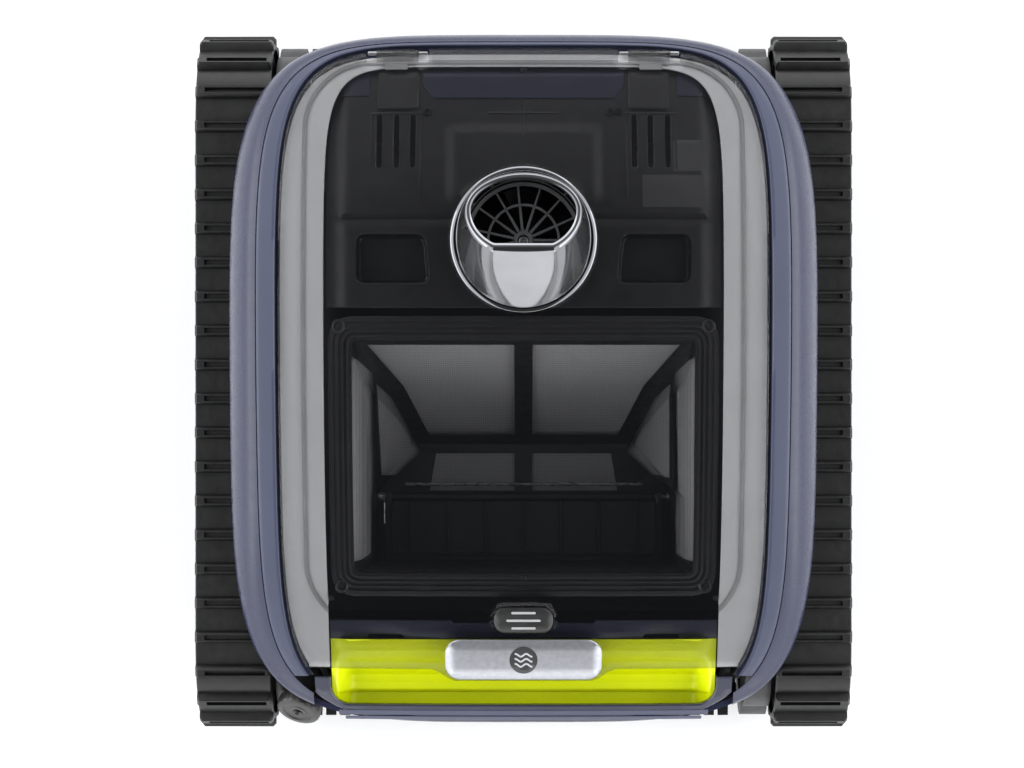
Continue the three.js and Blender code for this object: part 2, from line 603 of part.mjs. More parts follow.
function sideFrame(side) {
  const width = FRAME_X.outer - FRAME_X.inner;
  const x0 = sideX(side, FRAME_X.inner, width);
  const x1 = x0 + width;
  const parts = [box(x0, x1, -WHEEL_Y + 12, WHEEL_Y - 12, HULL_BOTTOM + 6, 2 * AXLE_Z - 4)];
  const holes = [];
  for (const end of [-1, 1]) {
    parts.push(place(rod(WHEEL_RADIUS - 4, x0, x1, 24, "x"), 0, end * WHEEL_Y, AXLE_Z));
    parts.push(place(rod(BRUSH_RADIUS - 0.5, x0, x1, 24, "x"), 0, end * BRUSH_Y, BRUSH_Z));
    holes.push(place(rod(BORE + 0.2, x0 - 1, x1 + 1, 16, "x"), 0, end * WHEEL_Y, AXLE_Z));
    const pocketX = sideX(side, FRAME_X.inner - 1, width - FRAME_FACE + 1);
    const pocketEnd = pocketX + width - FRAME_FACE + 1;
    const pocket = (radius, y, z) => place(rod(radius, pocketX, pocketEnd, 20, "x"), 0, y, z);
    holes.push(pocket(pitchRadius(WHEEL_TEETH) + 4, end * WHEEL_Y, AXLE_Z));
    holes.push(pocket(pitchRadius(BRUSH_TEETH) + 4, end * BRUSH_Y, BRUSH_Z));
    if (end > 0) holes.push(pocket(pitchRadius(PINION_TEETH) + 4, PINION_Y, PINION_Z));
  }
  holes.push(glandPassage());
  return cut(join(parts[0], ...parts.slice(1)), ...holes);
}

function sideCover(side) {
  const inner = FRAME_X.outer + GAP;
  const face = { inner: TRACK_OUTER_X - 18, outer: TRACK_OUTER_X - 2 };
  const [x0, x1] = [sideX(side, face.inner, 16), sideX(side, face.inner, 16) + 16];
  const height = BELT_MID_RADIUS - BELT_THICKNESS / 2 - 2;
  const panel = box(x0, x1, -WHEEL_Y + 20, WHEEL_Y - 20, AXLE_Z - height, AXLE_Z + height);
  const around = [-1, 1].map((end) =>
    place(rod(WHEEL_RADIUS + 2, x0 - 1, x1 + 1, 28, "x"), 0, end * WHEEL_Y, AXLE_Z));
  const depth = face.inner - inner + 1;
  const posts = [-60, 60].map((y) =>
    place(rod(8, sideX(side, inner, depth), sideX(side, inner, depth) + depth, 12, "x"), 0, y, AXLE_Z));
  const recessX = side > 0 ? face.outer - 4 : -face.outer - 1;
  const recess = prism(roundedRectangle(-76, 76, AXLE_Z - 26, AXLE_Z + 26, 12, 3), recessX, recessX + 5, "x");
  return join(cut(panel, ...around, recess), ...posts);
}

for (const side of [-1, 1]) {
  add(`${sideName(side)}_side_frame`, sideFrame(side), MATERIALS.black);
  add(`${sideName(side)}_side_cover`, sideCover(side), MATERIALS.navy);
}

// ---------------------------------------------------------------- hull and bottom plate
function brushBay(extra) {
  const bays = [];
  for (const end of [-1, 1]) {
    const radius = BRUSH_RADIUS + 4 + extra;
    bays.push(place(rod(radius, -FAR_X, FAR_X, 20, "x"), 0, end * BRUSH_Y, BRUSH_Z));
    const [y0, y1] = end > 0 ? [BRUSH_Y - radius, FAR_Y] : [-FAR_Y, -BRUSH_Y + radius];
    bays.push(box(-FAR_X, FAR_X, y0, y1, -20, BRUSH_Z));
    const [y2, y3] = end > 0 ? [BRUSH_Y, FAR_Y] : [-FAR_Y, -BRUSH_Y];
    bays.push(box(-FAR_X, FAR_X, y2, y3, -20, BRUSH_Z + radius));
  }
  return bays;
}

function hullGeometry() {
  const top = CROWN_HEIGHT;
  const [outline, inside] = [planOf(superellipse(HULL)), planOf(superellipse(grown(HULL, -WALL)))];
  const outer = cut(prism(outline, HULL_BOTTOM, top), ...brushBay(0));
  const inner = cut(prism(inside, HULL_BOTTOM + WALL, top + 1), ...brushBay(WALL));
  const above = crownSlab(planOf(superellipse(RAIL_INNER)), -60, DECK_DROP + WALL + GAP);
  const nose = box(-FAR_X, FAR_X, -FAR_Y, CROSS_BAR.rear + 2, SCOOP.floor - 6, FAR_Z);
  const inlet = box(-INLET.halfWidth, INLET.halfWidth, INLET.front, INLET.rear, 0, HULL_BOTTOM + WALL + 1);
  const shafts = [];
  for (const side of [-1, 1]) {
    const x = sideX(side, HULL_HALF_WIDTH - 8, 12);
    shafts.push(place(rod(DRIVE_MOTOR.shaft + 2, x, x + 12, 12, "x"), 0, PINION_Y, PINION_Z));
  }
  return cut(outer, inner, above, nose, inlet, glandPassage(), ...shafts);
}

function bottomPlate() {
  const outline = roundedRectangle(-HULL.a + 6.5, HULL.a - 6.5, -HULL.b + 50, HULL.b - 50, 10, 3);
  const half = INLET.halfWidth - 2;
  const mouth = roundedRectangle(-half, half, INLET.front + 2, INLET.rear - 2, 5, 3);
  const top = HULL_BOTTOM - GAP;
  return prism(outline, top - PLATE_THICKNESS, top, "z", [mouth.reverse()]);
}

add("hull", hullGeometry(), MATERIALS.black);
add("bottom_plate", bottomPlate(), MATERIALS.black);

// ---------------------------------------------------------------- shell and rail
// The shell's lower edge clears the lugs and follows the track down at the ends; between the tracks it
// reaches lower, as a bumper.
function shellFoot(x, y) {
  const clear = TRACK_RADIUS + TRACK_HEADROOM;
  const past = Math.min(Math.max(0, Math.abs(y) - WHEEL_Y), clear - 1);
  const bumper = THREE.MathUtils.smoothstep(TRACK_INNER_X - Math.abs(x), 6, 36);
  return AXLE_Z + Math.sqrt(clear * clear - past * past) - BUMPER_DROP * bumper;
}

const handleBottom = crown(0, HANDLE.front) - HANDLE.thickness - 2;

function shellGeometry() {
  // [inset from the shell's outline, share of the way down from the crown to the foot]
  const outerEdge = { a: RAIL_OUTER.a + GAP, b: RAIL_OUTER.b + GAP, n: RAIL_OUTER.n };
  const blend = (t) => ({
    a: THREE.MathUtils.lerp(outerEdge.a, SHELL.a, t),
    b: THREE.MathUtils.lerp(outerEdge.b, SHELL.b, t),
    n: THREE.MathUtils.lerp(outerEdge.n, SHELL.n, t),
  });
  const section = [
    [blend(0), 0], [blend(0.5), 0.08], [blend(0.84), 0.22], [blend(1), 0.46], [grown(blend(1), -0.7), 1],
    [grown(blend(1), -0.7 - WALL), 1], [grown(blend(1), -WALL), 0.5], [grown(blend(0.84), -WALL), 0.34],
    [grown(blend(0.5), -1.5), 0.22], [blend(0), 0.16],
  ];
  const loops = section.map(([outline, share]) => superellipse(outline).map((p) => {
    const top = crown(p.x, p.y);
    return new THREE.Vector3(p.x, p.y, THREE.MathUtils.lerp(top, shellFoot(p.x, p.y), share));
  }));
  const half = HANDLE.halfWidth + GAP;
  const nose = box(-half, half, -FAR_Y, CROSS_BAR.rear - 4.5, handleBottom - GAP, FAR_Z);
  const nut = alongGland(rod(GLAND.nutRadius + 1, -80, 20, 20));
  return cut(loft(loops, { closed: true }), nose, nut);
}

function railGeometry() {
  const flange = DECK_DROP + WALL + 1;
  const besideHull = grown(HULL, 2 * GAP);
  const section = [
    [RAIL_INNER, 0], [RAIL_OUTER, 0.4], [RAIL_OUTER, RAIL_DEPTH], [grown(RAIL_OUTER, -3), flange + 2.5],
    [besideHull, flange + 2.5], [besideHull, flange], [RAIL_INNER, flange],
  ];
  const loops = section.map(([outline, drop]) => superellipse(outline).map((p) =>
    new THREE.Vector3(p.x, p.y, crown(p.x, p.y) - drop)));
  const nose = inFrontOf(HANDLE.cornerY);
  return cut(loft(loops, { closed: true }), nose);
}

add("shell", shellGeometry(), MATERIALS.navy);
add("side_rail", railGeometry(), MATERIALS.navy);

// ---------------------------------------------------------------- handle, scoop and cross bar
const buttonOutline = (by) => {
  const { halfWidth, y, halfDepth } = BUTTON;
  const [across, along] = [halfWidth + by, halfDepth + by];
  return roundedRectangle(-across, across, y - along, y + along, along - 1, 4);
};

function handleGeometry() {
  const bow = { a: RAIL_OUTER.a - 4, b: BODY_CENTRE_Y - HANDLE.front, n: 5 };
  const half = HANDLE.halfWidth;
  const within = (p) => p.y < HANDLE.cornerY - GAP && Math.abs(p.x) < half - 1;
  const curve = superellipse(bow, 80).filter(within).sort((p, q) => p.x - q.x);
  const cornerY = BODY_CENTRE_Y - bow.b * (1 - (half / bow.a) ** bow.n) ** (1 / bow.n);
  const back = HANDLE.cornerY - GAP;
  const outline = [[-half, cornerY], ...planOf(curve), [half, cornerY], [half, back], [-half, back]];
  const body = crownSlab(outline, 0, HANDLE.thickness, 16);
  const pocket = roundedRectangle(-HANDLE.pocketX, HANDLE.pocketX, HANDLE.rear, CROSS_BAR.rear + 45.5, 12, 5);
  return cut(body, prism(pocket, 0, FAR_Z));
}

function scoopGeometry() {
  const [x, back] = [HANDLE.pocketX - GAP, CROSS_BAR.front - GAP];
  const front = HANDLE.rear + GAP;
  const bottom = SCOOP.floor - WALL;
  const section = [
    [back, crown(x, back) - DECK_DROP - 4], [back - 14, SCOOP.floor + 26], [SCOOP.step + 10, SCOOP.floor + 10],
    [SCOOP.step, SCOOP.floor + 7], [SCOOP.step - 1, SCOOP.floor], [front, SCOOP.floor],
    [front, bottom], [SCOOP.step + 4, bottom], [back - 14, bottom + 20], [back, bottom + 34],
  ];
  const floor = prism(section, -x, x, "x");
  const cheeks = [-1, 1].map((side) => {
    const wallX = sideX(side, x - WALL, WALL);
    const profile = [
      [back, bottom + 34], [back, crown(x, back) - DECK_DROP - 4], [front, crown(x, front) - 6], [front, bottom],
      [SCOOP.step + 4, bottom], [back - 14, bottom + 20],
    ];
    return prism(profile, wallX, wallX + WALL, "x");
  });
  const inside = roundedRectangle(-x, x, front, back, 12 - GAP, 5);
  return keep(join(floor, ...cheeks), prism(inside, 0, FAR_Z));
}

add("carry_handle", handleGeometry(), MATERIALS.navy);
add("handle_scoop", scoopGeometry(), MATERIALS.yellow);

// The bar under the lid's front edge, notched round the latch button.
function crossBar() {
  const outline = roundedRectangle(-HANDLE.pocketX, HANDLE.pocketX, CROSS_BAR.front, CROSS_BAR.rear, 2, 2);
  const bar = crownSlab(outline, DECK_DROP + 1, DECK_DROP + 1 + CROSS_BAR.thickness, 24);
  return cut(bar, prism(buttonOutline(2 * GAP), 0, FAR_Z));
}

add("cross_bar", crossBar(), MATERIALS.navy);

// ---------------------------------------------------------------- deck and seal
const hingeZ = crown((HINGE.from + HINGE.to) / 2, HINGE.y) - LID_THICKNESS / 2;
const hingeBore = () => place(rod(HINGE.pin + 0.1, -FAR_X, FAR_X, 12, "x"), 0, HINGE.y, hingeZ);

function deckGeometry() {
  const outer = superellipse({ a: LID.a - 1, b: LID.b - 4, n: LID.n });
  const inner = superellipse(DECK_INNER);
  const sheet = cut(crownSlab(planOf(outer), DECK_DROP, DECK_DROP + WALL), prism(planOf(inner), 0, FAR_Z));
  const flange = crownSheet(inner, superellipse(grown(DECK_INNER, WALL)), DECK_DROP + 1, DECK_DROP + 14, 1);
  const middle = box(-DECK_INNER.a - GAP, DECK_INNER.a + GAP, -FAR_Y, CROSS_BAR.rear + 10, 0, FAR_Z);
  const slots = [];
  const cheeks = [];
  for (const side of [-1, 1]) {
    const slotWidth = HINGE.to - HINGE.from + 2 * GAP;
    const slotX = sideX(side, HINGE.from - GAP, slotWidth);
    slots.push(box(slotX, slotX + slotWidth, HINGE.y - HINGE.barrel - 3, HINGE.y + 8, 0, FAR_Z));
    for (const x of [HINGE.from - GAP - HINGE.cheek, HINGE.to + GAP]) {
      const x0 = sideX(side, x, HINGE.cheek);
      const x1 = x0 + HINGE.cheek;
      cheeks.push(place(rod(HINGE.barrel, x0, x1, 14, "x"), 0, HINGE.y, hingeZ));
      cheeks.push(box(x0, x1, HINGE.y - 6, HINGE.y + HINGE.barrel - 0.3, hingeZ - HINGE.barrel, hingeZ - 0.8));
    }
  }
  return cut(join(cut(join(sheet, flange), inFrontOf(LID_FRONT_Y), middle, ...slots), ...cheeks), hingeBore());
}

function sealGeometry() {
  const { halfWidth, rear, front, corner, width } = SEAL;
  const [top, bottom] = [LID_THICKNESS + 0.45, DECK_DROP - 0.45];
  const loops = [[-1, top], [1, top], [1, bottom], [-1, bottom]].map(([share, drop]) => {
    const by = (share * width) / 2;
    const path = roundedRectangle(-halfWidth - by, halfWidth + by, front - by, rear + by, corner + by, 4);
    return divided(path, 20).map((p) => new THREE.Vector3(p.x, p.y, crown(p.x, p.y) - drop));
  });
  const middle = box(-DECK_INNER.a - 3, DECK_INNER.a + 3, -FAR_Y, CROSS_BAR.rear + 10, 0, FAR_Z);
  return cut(loft(loops, { closed: true }), middle);
}

add("deck", deckGeometry(), MATERIALS.grey);
add("lid_seal", sealGeometry(), MATERIALS.rubber);

// ---------------------------------------------------------------- hood
const circleAt = (y, radius, count) => Array.from({ length: count }, (_, i) => {
  const t = (i / count) * 2 * Math.PI - Math.PI / 2;
  return new THREE.Vector2(radius * Math.cos(t), y + radius * Math.sin(t));
});

function hoodGeometry() {
  const rim = planOf(superellipse(grown(DECK_INNER, -1)));
  const opening = prism(planOf(circleAt(OUTLET_Y, DUCT_RADIUS, 32)), 0, FAR_Z);
  const sheet = cut(crownSlab(rim, HOOD_DROP, HOOD_DROP + WALL), opening, inFrontOf(HOOD_FRONT_Y));
  const ductWall = tube(DUCT_RADIUS, DUCT_RADIUS + WALL, PROPELLER.bottom - 12, CROWN_HEIGHT, 32);
  const ductTube = place(ductWall, 0, OUTLET_Y, 0);
  const [reach, clear] = [DUCT_RADIUS + WALL + 2, HOOD_DROP + 0.5];
  const around = roundedRectangle(-reach, reach, OUTLET_Y - reach, OUTLET_Y + reach, 4, 1);
  const duct = cut(ductTube, crownSlab(around, -60, clear, 12));
  const stays = [-1, 1].map((side) => {
    const x = sideX(side, DUCT_RADIUS + 1, 5);
    return box(x, x + 5, OUTLET_Y - 3, OUTLET_Y + 3, MOTOR_CASE.top + 6.8, PROPELLER.bottom);
  });
  const cups = [];
  const hollows = [];
  for (const side of [-1, 1]) {
    const width = POCKET.outer - POCKET.inner;
    const x = sideX(side, POCKET.inner, width);
    const z = crown(POCKET.outer, POCKET.front) - HOOD_DROP;
    const cup = roundedRectangle(x - WALL, x + width + WALL, POCKET.front - WALL, POCKET.rear + WALL, 7, 2);
    const hollow = roundedRectangle(x, x + width, POCKET.front, POCKET.rear, 5, 2);
    cups.push(prism(cup, z - POCKET.depth - WALL, z - 0.5));
    hollows.push(prism(hollow, z - POCKET.depth, z + 20));
    for (let k = 0; k < SLOT.count; k++) {
      const slotX = sideX(side, SLOT.first + k * SLOT.pitch - SLOT.width / 2, SLOT.width);
      hollows.push(box(slotX, slotX + SLOT.width, SLOT.front, SLOT.rear, MOTOR_CASE.top, FAR_Z));
    }
  }
  return cut(join(sheet, duct, ...stays, ...cups), ...hollows);
}

function guardGeometry() {
  const [hub, bore, width] = [6.5, 3.2, 1.5];
  const outer = DUCT_RADIUS - GAP;
  const rim = tube(outer - 2.4, outer, 0, 4, 30);
  const boss = prism(ring(hub, 6), 0, 4, "z", [ring(bore, 8).reverse()]);
  const ribs = Array.from({ length: GUARD_RIBS }, (_, k) => {
    const rib = box(hub - 1.2, outer - 1, -width / 2, width / 2, 0.6, 3.4);
    return rib.rotateZ((k / GUARD_RIBS) * 2 * Math.PI);
  });
  return place(join(rim, boss, ...ribs), 0, OUTLET_Y, GUARD_Z);
}

function propellerGeometry() {
  const { radius, height, hub, blades, pitch } = PROPELLER;
  const boss = tube(PUMP_MOTOR.shaft + 0.15, hub, 0, height, 20);
  const parts = [boss];
  for (let k = 0; k < blades; k++) {
    const steps = 4;
    const loops = [];
    for (let s = 0; s <= steps; s++) {
      const r = THREE.MathUtils.lerp(hub - 1, radius, s / steps);
      const half = THREE.MathUtils.lerp(0.3, 0.42, s / steps);
      const lean = THREE.MathUtils.lerp(pitch, 0.45, s / steps);
      const chord = half * r * 2;
      const rise = Math.min(height / 2 - 1, (chord / 2) * Math.tan(lean));
      const corner = (share, thick) => {
        const t = (k / blades) * 2 * Math.PI + share * half;
        return new THREE.Vector3(r * Math.cos(t), r * Math.sin(t), height / 2 + share * rise + thick);
      };
      loops.push([corner(-1, -0.9), corner(1, -0.9), corner(1, 0.9), corner(-1, 0.9)]);
    }
    parts.push(loft(loops));
  }
  return place(join(...parts), 0, OUTLET_Y, PROPELLER.bottom);
}

add("hood", hoodGeometry(), MATERIALS.hood);
add("outlet_guard", guardGeometry(), MATERIALS.black);
add("propeller", propellerGeometry(), MATERIALS.black);

// ---------------------------------------------------------------- motor unit
function motorCase() {
  const { halfWidth, front, rear, bottom, top } = MOTOR_CASE;
  const outer = prism(roundedRectangle(-halfWidth, halfWidth, front, rear, 12, 3), bottom, top);
  const [x, y0, y1] = [halfWidth - WALL, front + WALL, rear - WALL];
  return cut(outer, prism(roundedRectangle(-x, x, y0, y1, 9, 3), bottom + WALL, top + 1));
}

function motorCover() {
  const { halfWidth, front, rear, top } = MOTOR_CASE;
  const lid = prism(roundedRectangle(-halfWidth, halfWidth, front, rear, 12, 3), top + GAP, top + GAP + 6);
  const boss = place(tube(PUMP_MOTOR.shaft + 1, 18, top + GAP, PROPELLER.bottom - 14, 24), 0, OUTLET_Y, 0);
  const hole = place(rod(PUMP_MOTOR.shaft + 1, 0, FAR_Z, 16), 0, OUTLET_Y, 0);
  return cut(join(lid, boss), hole);
}

// Half the hull's inner width at a distance along the cleaner. A drive motor's can ends just inside it.
function hullInside(y) {
  const along = Math.abs(y - BODY_CENTRE_Y) / (HULL.b - WALL);
  return (HULL.a - WALL) * (1 - along ** HULL.n) ** (1 / HULL.n);
}

function driveMotor(side) {
  const end = hullInside(PINION_Y + DRIVE_MOTOR.radius) - 2 * GAP;
  const can = rod(DRIVE_MOTOR.radius, DRIVE_MOTOR.inner, end, 20, "x");
  const shaft = rod(DRIVE_MOTOR.shaft, end - 1, GEAR_X + GEAR_WIDTH - 1, 12, "x");
  const motor = join(can, shaft);
  if (side < 0) motor.rotateZ(Math.PI);
  return place(motor, 0, PINION_Y, PINION_Z);
}

add("motor_case", motorCase(), MATERIALS.black);
add("motor_case_cover", motorCover(), MATERIALS.black);
const pumpCan = rod(PUMP_MOTOR.radius, PUMP_MOTOR.bottom, PUMP_MOTOR.top, 24);
add("pump_motor", place(pumpCan, 0, OUTLET_Y, 0), MATERIALS.steel);
const pumpShaft = rod(PUMP_MOTOR.shaft, PUMP_MOTOR.top + GAP, PROPELLER.bottom + PROPELLER.height + 4, 14);
add("pump_shaft", place(pumpShaft, 0, OUTLET_Y, 0), MATERIALS.steel);
for (const side of [-1, 1]) add(`${sideName(side)}_drive_motor`, driveMotor(side), MATERIALS.steel);
const { halfWidth: caseHalf, front: caseFront, bottom: caseBottom } = MOTOR_CASE;
const board = box(-caseHalf + 16, caseHalf - 16, caseFront + 6, caseFront + 42, caseBottom + 20, caseBottom + 22);
add("control_board", board, MATERIALS.board);

// ---------------------------------------------------------------- filter basket
const between = (from, to, t) => THREE.MathUtils.lerp(from, to, t);

// One level of the basket: its rear edge is narrow at the bottom, and its front is as wide as the flap.
function basketLoop(level, by) {
  const top = (x, y) => crown(x, y) - BASKET_TOP.drop - BASKET_TOP.rimHeight;
  const corners = {
    top: [[BASKET_TOP.x, BASKET_TOP.rear], [BASKET_TOP.x, BASKET_FLOOR.widestY], [BASKET_TOP.x, BASKET_TOP.front]],
    bend: [[BASKET_BEND.x, BASKET_BEND.rear], [BASKET_BEND.x, BASKET_FLOOR.widestY],
      [BASKET_BEND.x, BASKET_BEND.front]],
    floor: [[BASKET_FLOOR.rearX, BASKET_FLOOR.rear], [BASKET_FLOOR.frontX, BASKET_FLOOR.widestY],
      [BASKET_FLOOR.frontX, BASKET_FLOOR.front]],
  }[level];
  const height = { top, bend: () => BASKET_BEND.z, floor: () => BASKET_FLOOR.z - by }[level];
  const [rear, middle, front] = corners;
  const half = [
    [0, rear[1] + by], [rear[0] + by, rear[1] + by], [middle[0] + by, middle[1]], [front[0] + by, front[1] - by],
    [0, front[1] - by],
  ];
  const loop = [...half, ...half.slice(1, -1).reverse().map(([x, y]) => [-x, y])];
  return loop.map(([x, y]) => new THREE.Vector3(x, y, height(x, y)));
}

function basketShell(inside, outside) {
  const levels = ["floor", "bend", "top"];
  const outer = levels.map((level) => basketLoop(level, outside));
  const inner = levels.map((level) => basketLoop(level, inside));
  const raise = (loop, by) => loop.map((p) => new THREE.Vector3(p.x, p.y, p.z + by));
  return cut(loft(outer), loft([...inner, raise(inner[2], 40)]));
}

const mirrored = (outline) => outline.map(([x, y]) => [-x, y]).reverse();
const flapBore = () => place(rod(FLAP.pin + 0.1, -FAR_X, FAR_X, 12, "x"), 0, FLAP.hingeY, FLAP.z);
const flapHole = () => box(-FLAP.halfWidth - 1, FLAP.halfWidth + 1, FLAP.front - 1, FLAP.hingeY, 0, FLAP.z + 1);

// Openings in the basket's walls, as seen from above: one each side of the middle bar in the rear wall, two
// in each side wall, and one each side of the bar in the floor. Each is given for the left side.
function basketWindows() {
  const [top, bend, floor, bar] = [BASKET_TOP, BASKET_BEND, BASKET_FLOOR, 5.5];
  const outlines = [
    [
      [-top.x + 9, top.rear - 3], [-bar, top.rear - 3], [-bar, floor.rear + 6], [-floor.rearX + 6, floor.rear + 6],
      [-bend.x + 23, bend.rear - 1],
    ],
    [
      [-top.x - 0.6, top.rear - 9], [-bend.x + 4.4, bend.rear + 7], [-bend.x + 2.4, bend.front + 6.5],
      [-top.x - 0.6, bend.front + 5.5],
    ],
    [
      [-bend.x + 6.2, bend.rear + 1], [-bend.x + 15, bend.rear - 8], [-floor.rearX, floor.rear - 5],
      [-floor.rearX - 16, floor.widestY + 12], [-bend.x + 6.2, floor.widestY + 12],
    ],
    [
      [-floor.rearX + 6, FLAP.hingeY + 3], [-bar, FLAP.hingeY + 3], [-bar, floor.rear - 6],
      [-floor.rearX + 10, floor.rear - 6],
    ],
  ];
  return outlines.flatMap((outline) =>
    [outline, mirrored(outline)].map((sides) => prism(sides, BASKET_FLOOR.z - 16, FAR_Z)));
}

function basketRim() {
  const { x, rear, front, rimWidth } = BASKET_TOP;
  return roundedRectangle(-x - rimWidth, x + rimWidth, front - rimWidth, rear + rimWidth, 14, 4);
}

function basketFrame() {
  const { x, rear, front, drop, rimHeight } = BASKET_TOP;
  const hole = roundedRectangle(-x, x, front, rear, 4, 2);
  const rimSlab = cut(crownSlab(basketRim(), drop, drop + rimHeight + 0.5, 30), prism(hole, 0, FAR_Z));
  const walls = cut(basketShell(0, BASKET_WALL), ...basketWindows(), flapHole());
  // The flap rests on the duct's upper edge, and turns on a pin through the two ears.
  const seat = FLAP.z - FLAP.barrel - GAP;
  const duct = cut(
    box(-FLAP.halfWidth - 4, FLAP.halfWidth + 4, FLAP.front - 3, FLAP.hingeY + 2.4, BASKET_FLOOR.z - 20, seat),
    box(-FLAP.halfWidth + 3, FLAP.halfWidth - 3, FLAP.front + 3, FLAP.hingeY - 3, 0, seat + 1));
  const ears = [-1, 1].map((side) => {
    const earX = sideX(side, FLAP.halfWidth + GAP, FLAP.ear);
    return box(earX, earX + FLAP.ear, FLAP.hingeY - 4, FLAP.hingeY + 2.4, seat - 4, FLAP.z + 5);
  });
  return cut(join(rimSlab, walls, duct, ...ears), flapBore());
}

function basketMesh() {
  const by = BASKET_WALL + GAP;
  const sheet = basketShell(by, by + MESH_THICKNESS);
  const width = FLAP.halfWidth + 4 + GAP;
  const duct = box(-width, width, FLAP.front - 10, FLAP.hingeY + 3, 0, FLAP.z + 20);
  return cut(sheet, duct, crownSlab(basketRim(), -40, BASKET_TOP.drop + BASKET_TOP.rimHeight + 1, 30));
}

function flapGeometry() {
  const { halfWidth, hingeY, front, z, thickness, barrel, ribs } = FLAP;
  const bottom = z - barrel;
  const plate = box(-halfWidth, halfWidth, front + GAP, hingeY, bottom, bottom + thickness);
  const tubeAlong = place(rod(barrel, -halfWidth, halfWidth, 14, "x"), 0, hingeY, z);
  const rails = Array.from({ length: ribs }, (_, k) => {
    const x = between(-halfWidth + 14, halfWidth - 14, k / (ribs - 1));
    return box(x - 0.8, x + 0.8, front + 3, hingeY - 1, bottom + 1, bottom + thickness + 2);
  });
  return cut(join(plate, tubeAlong, ...rails), flapBore());
}

// A torsion spring beside the flap's left end: a coil round the pin, with one straight leg.
function flapSpring() {
  const { halfWidth, hingeY, z, pin, ear } = FLAP;
  const width = 4;
  const coil = tube(pin + 0.3, pin + 2, 0, width, 14, "x");
  const leg = box(1, 2.2, -18, 0, pin + 0.7, pin + 1.9);
  return place(join(coil, leg), -halfWidth - ear - 2 * GAP - width, hingeY, z);
}

add("filter_basket", basketFrame(), MATERIALS.black);
add("filter_mesh", basketMesh(), MATERIALS.mesh);
add("inlet_flap", flapGeometry(), MATERIALS.hood);
const pinReach = FLAP.halfWidth + 9;
add("flap_pin", place(rod(FLAP.pin, -pinReach, pinReach, 12, "x"), 0, FLAP.hingeY, FLAP.z), MATERIALS.steel);
add("flap_spring", flapSpring(), MATERIALS.steel);

// ---------------------------------------------------------------- lid, outlet nozzle, latch
function lidGeometry() {
  const opening = prism(planOf(circleAt(OUTLET_Y, OUTLET_RADIUS + GAP, 40)), 0, FAR_Z);
  const sheet = cut(crownSlab(planOf(superellipse(LID)), 0, LID_THICKNESS), opening, inFrontOf(LID_FRONT_Y));
  const knuckles = [-1, 1].map((side) => {
    const width = HINGE.to - HINGE.from;
    const x = sideX(side, HINGE.from, width);
    return place(rod(HINGE.barrel, x, x + width, 14, "x"), 0, HINGE.y, hingeZ);
  });
  const tools = [hingeBore()];
  for (const side of [-1, 1]) {
    for (const x of [HINGE.from - GAP - HINGE.cheek, HINGE.to + GAP]) {
      const x0 = sideX(side, x - GAP, HINGE.cheek + 2 * GAP);
      tools.push(box(x0, x0 + HINGE.cheek + 2 * GAP, HINGE.y - HINGE.barrel - 5, FAR_Y, MOTOR_CASE.top, FAR_Z));
    }
  }
  tools.push(prism(buttonOutline(GAP), 0, FAR_Z));
  return cut(join(sheet, ...knuckles), ...tools);
}

function buttonGeometry() {
  const { height, proud, groove } = BUTTON;
  const cap = crownSlab(buttonOutline(0), -proud, height - proud, 9);
  const bars = [[-4.6, 8.2], [0, 13], [4.6, 8.2]].map(([dy, half]) => {
    const y = BUTTON.y + dy;
    const z = crown(0, y) + proud;
    return box(-half, half, y - 0.8, y + 0.8, z - groove, z + 4);
  });
  return cut(cap, ...bars);
}

function plateGeometry() {
  const { halfWidth, rear, front, corner, thickness } = PLATE;
  const outline = roundedRectangle(-halfWidth, halfWidth, front, rear, corner, 4);
  return crownSlab(outline, -thickness - 0.8, -0.8, 16);
}

// The spout: a round foot in the lid, drawn up and back into an oval mouth with a flat front edge.
function nozzleGeometry() {
  const count = 36;
  const foot = (radius, drop) => circleAt(OUTLET_Y, radius, count).map((p) =>
    new THREE.Vector3(p.x, p.y, crown(p.x, p.y) - drop));
  const mouth = (by) => Array.from({ length: count }, (_, i) => {
    const t = (i / count) * 2 * Math.PI - Math.PI / 2;
    const x = (MOUTH.halfWidth - by) * Math.cos(t);
    const reach = Math.sin(t) > 0 ? (MOUTH.halfDepth - by) * Math.sin(t)
      : Math.max(-MOUTH.halfDepth + by, (MOUTH.roundness - by) * Math.sin(t));
    const y = MOUTH.centre + reach;
    const share = (y - MOUTH.centre + MOUTH.halfDepth) / (2 * MOUTH.halfDepth);
    return new THREE.Vector3(x, y, between(MOUTH.frontZ, MOUTH.rearZ, share));
  });
  const mix = (from, to, t, bulge) => from.map((p, i) => {
    const q = p.clone().lerp(to[i], t);
    const out = new THREE.Vector2(q.x, q.y - OUTLET_Y).multiplyScalar(1 + bulge);
    return new THREE.Vector3(out.x, OUTLET_Y + out.y, q.z);
  });
  const [outerFoot, outerMouth] = [foot(OUTLET_RADIUS - 2.5, -1), mouth(0)];
  const [innerFoot, innerMouth] = [foot(DUCT_RADIUS + 0.5, 0), mouth(2.6)];
  const loops = [
    foot(OUTLET_RADIUS, LID_THICKNESS), foot(OUTLET_RADIUS, -1.2), outerFoot,
    mix(outerFoot, outerMouth, 0.5, 0.02), outerMouth, innerMouth,
    mix(innerFoot, innerMouth, 0.5, 0.02), innerFoot, foot(DUCT_RADIUS + 0.5, LID_THICKNESS + 3),
    foot(DUCT_RADIUS + 3.5, LID_THICKNESS + 3), foot(DUCT_RADIUS + 3.5, LID_THICKNESS),
  ];
  return loft(loops, { closed: true });
}

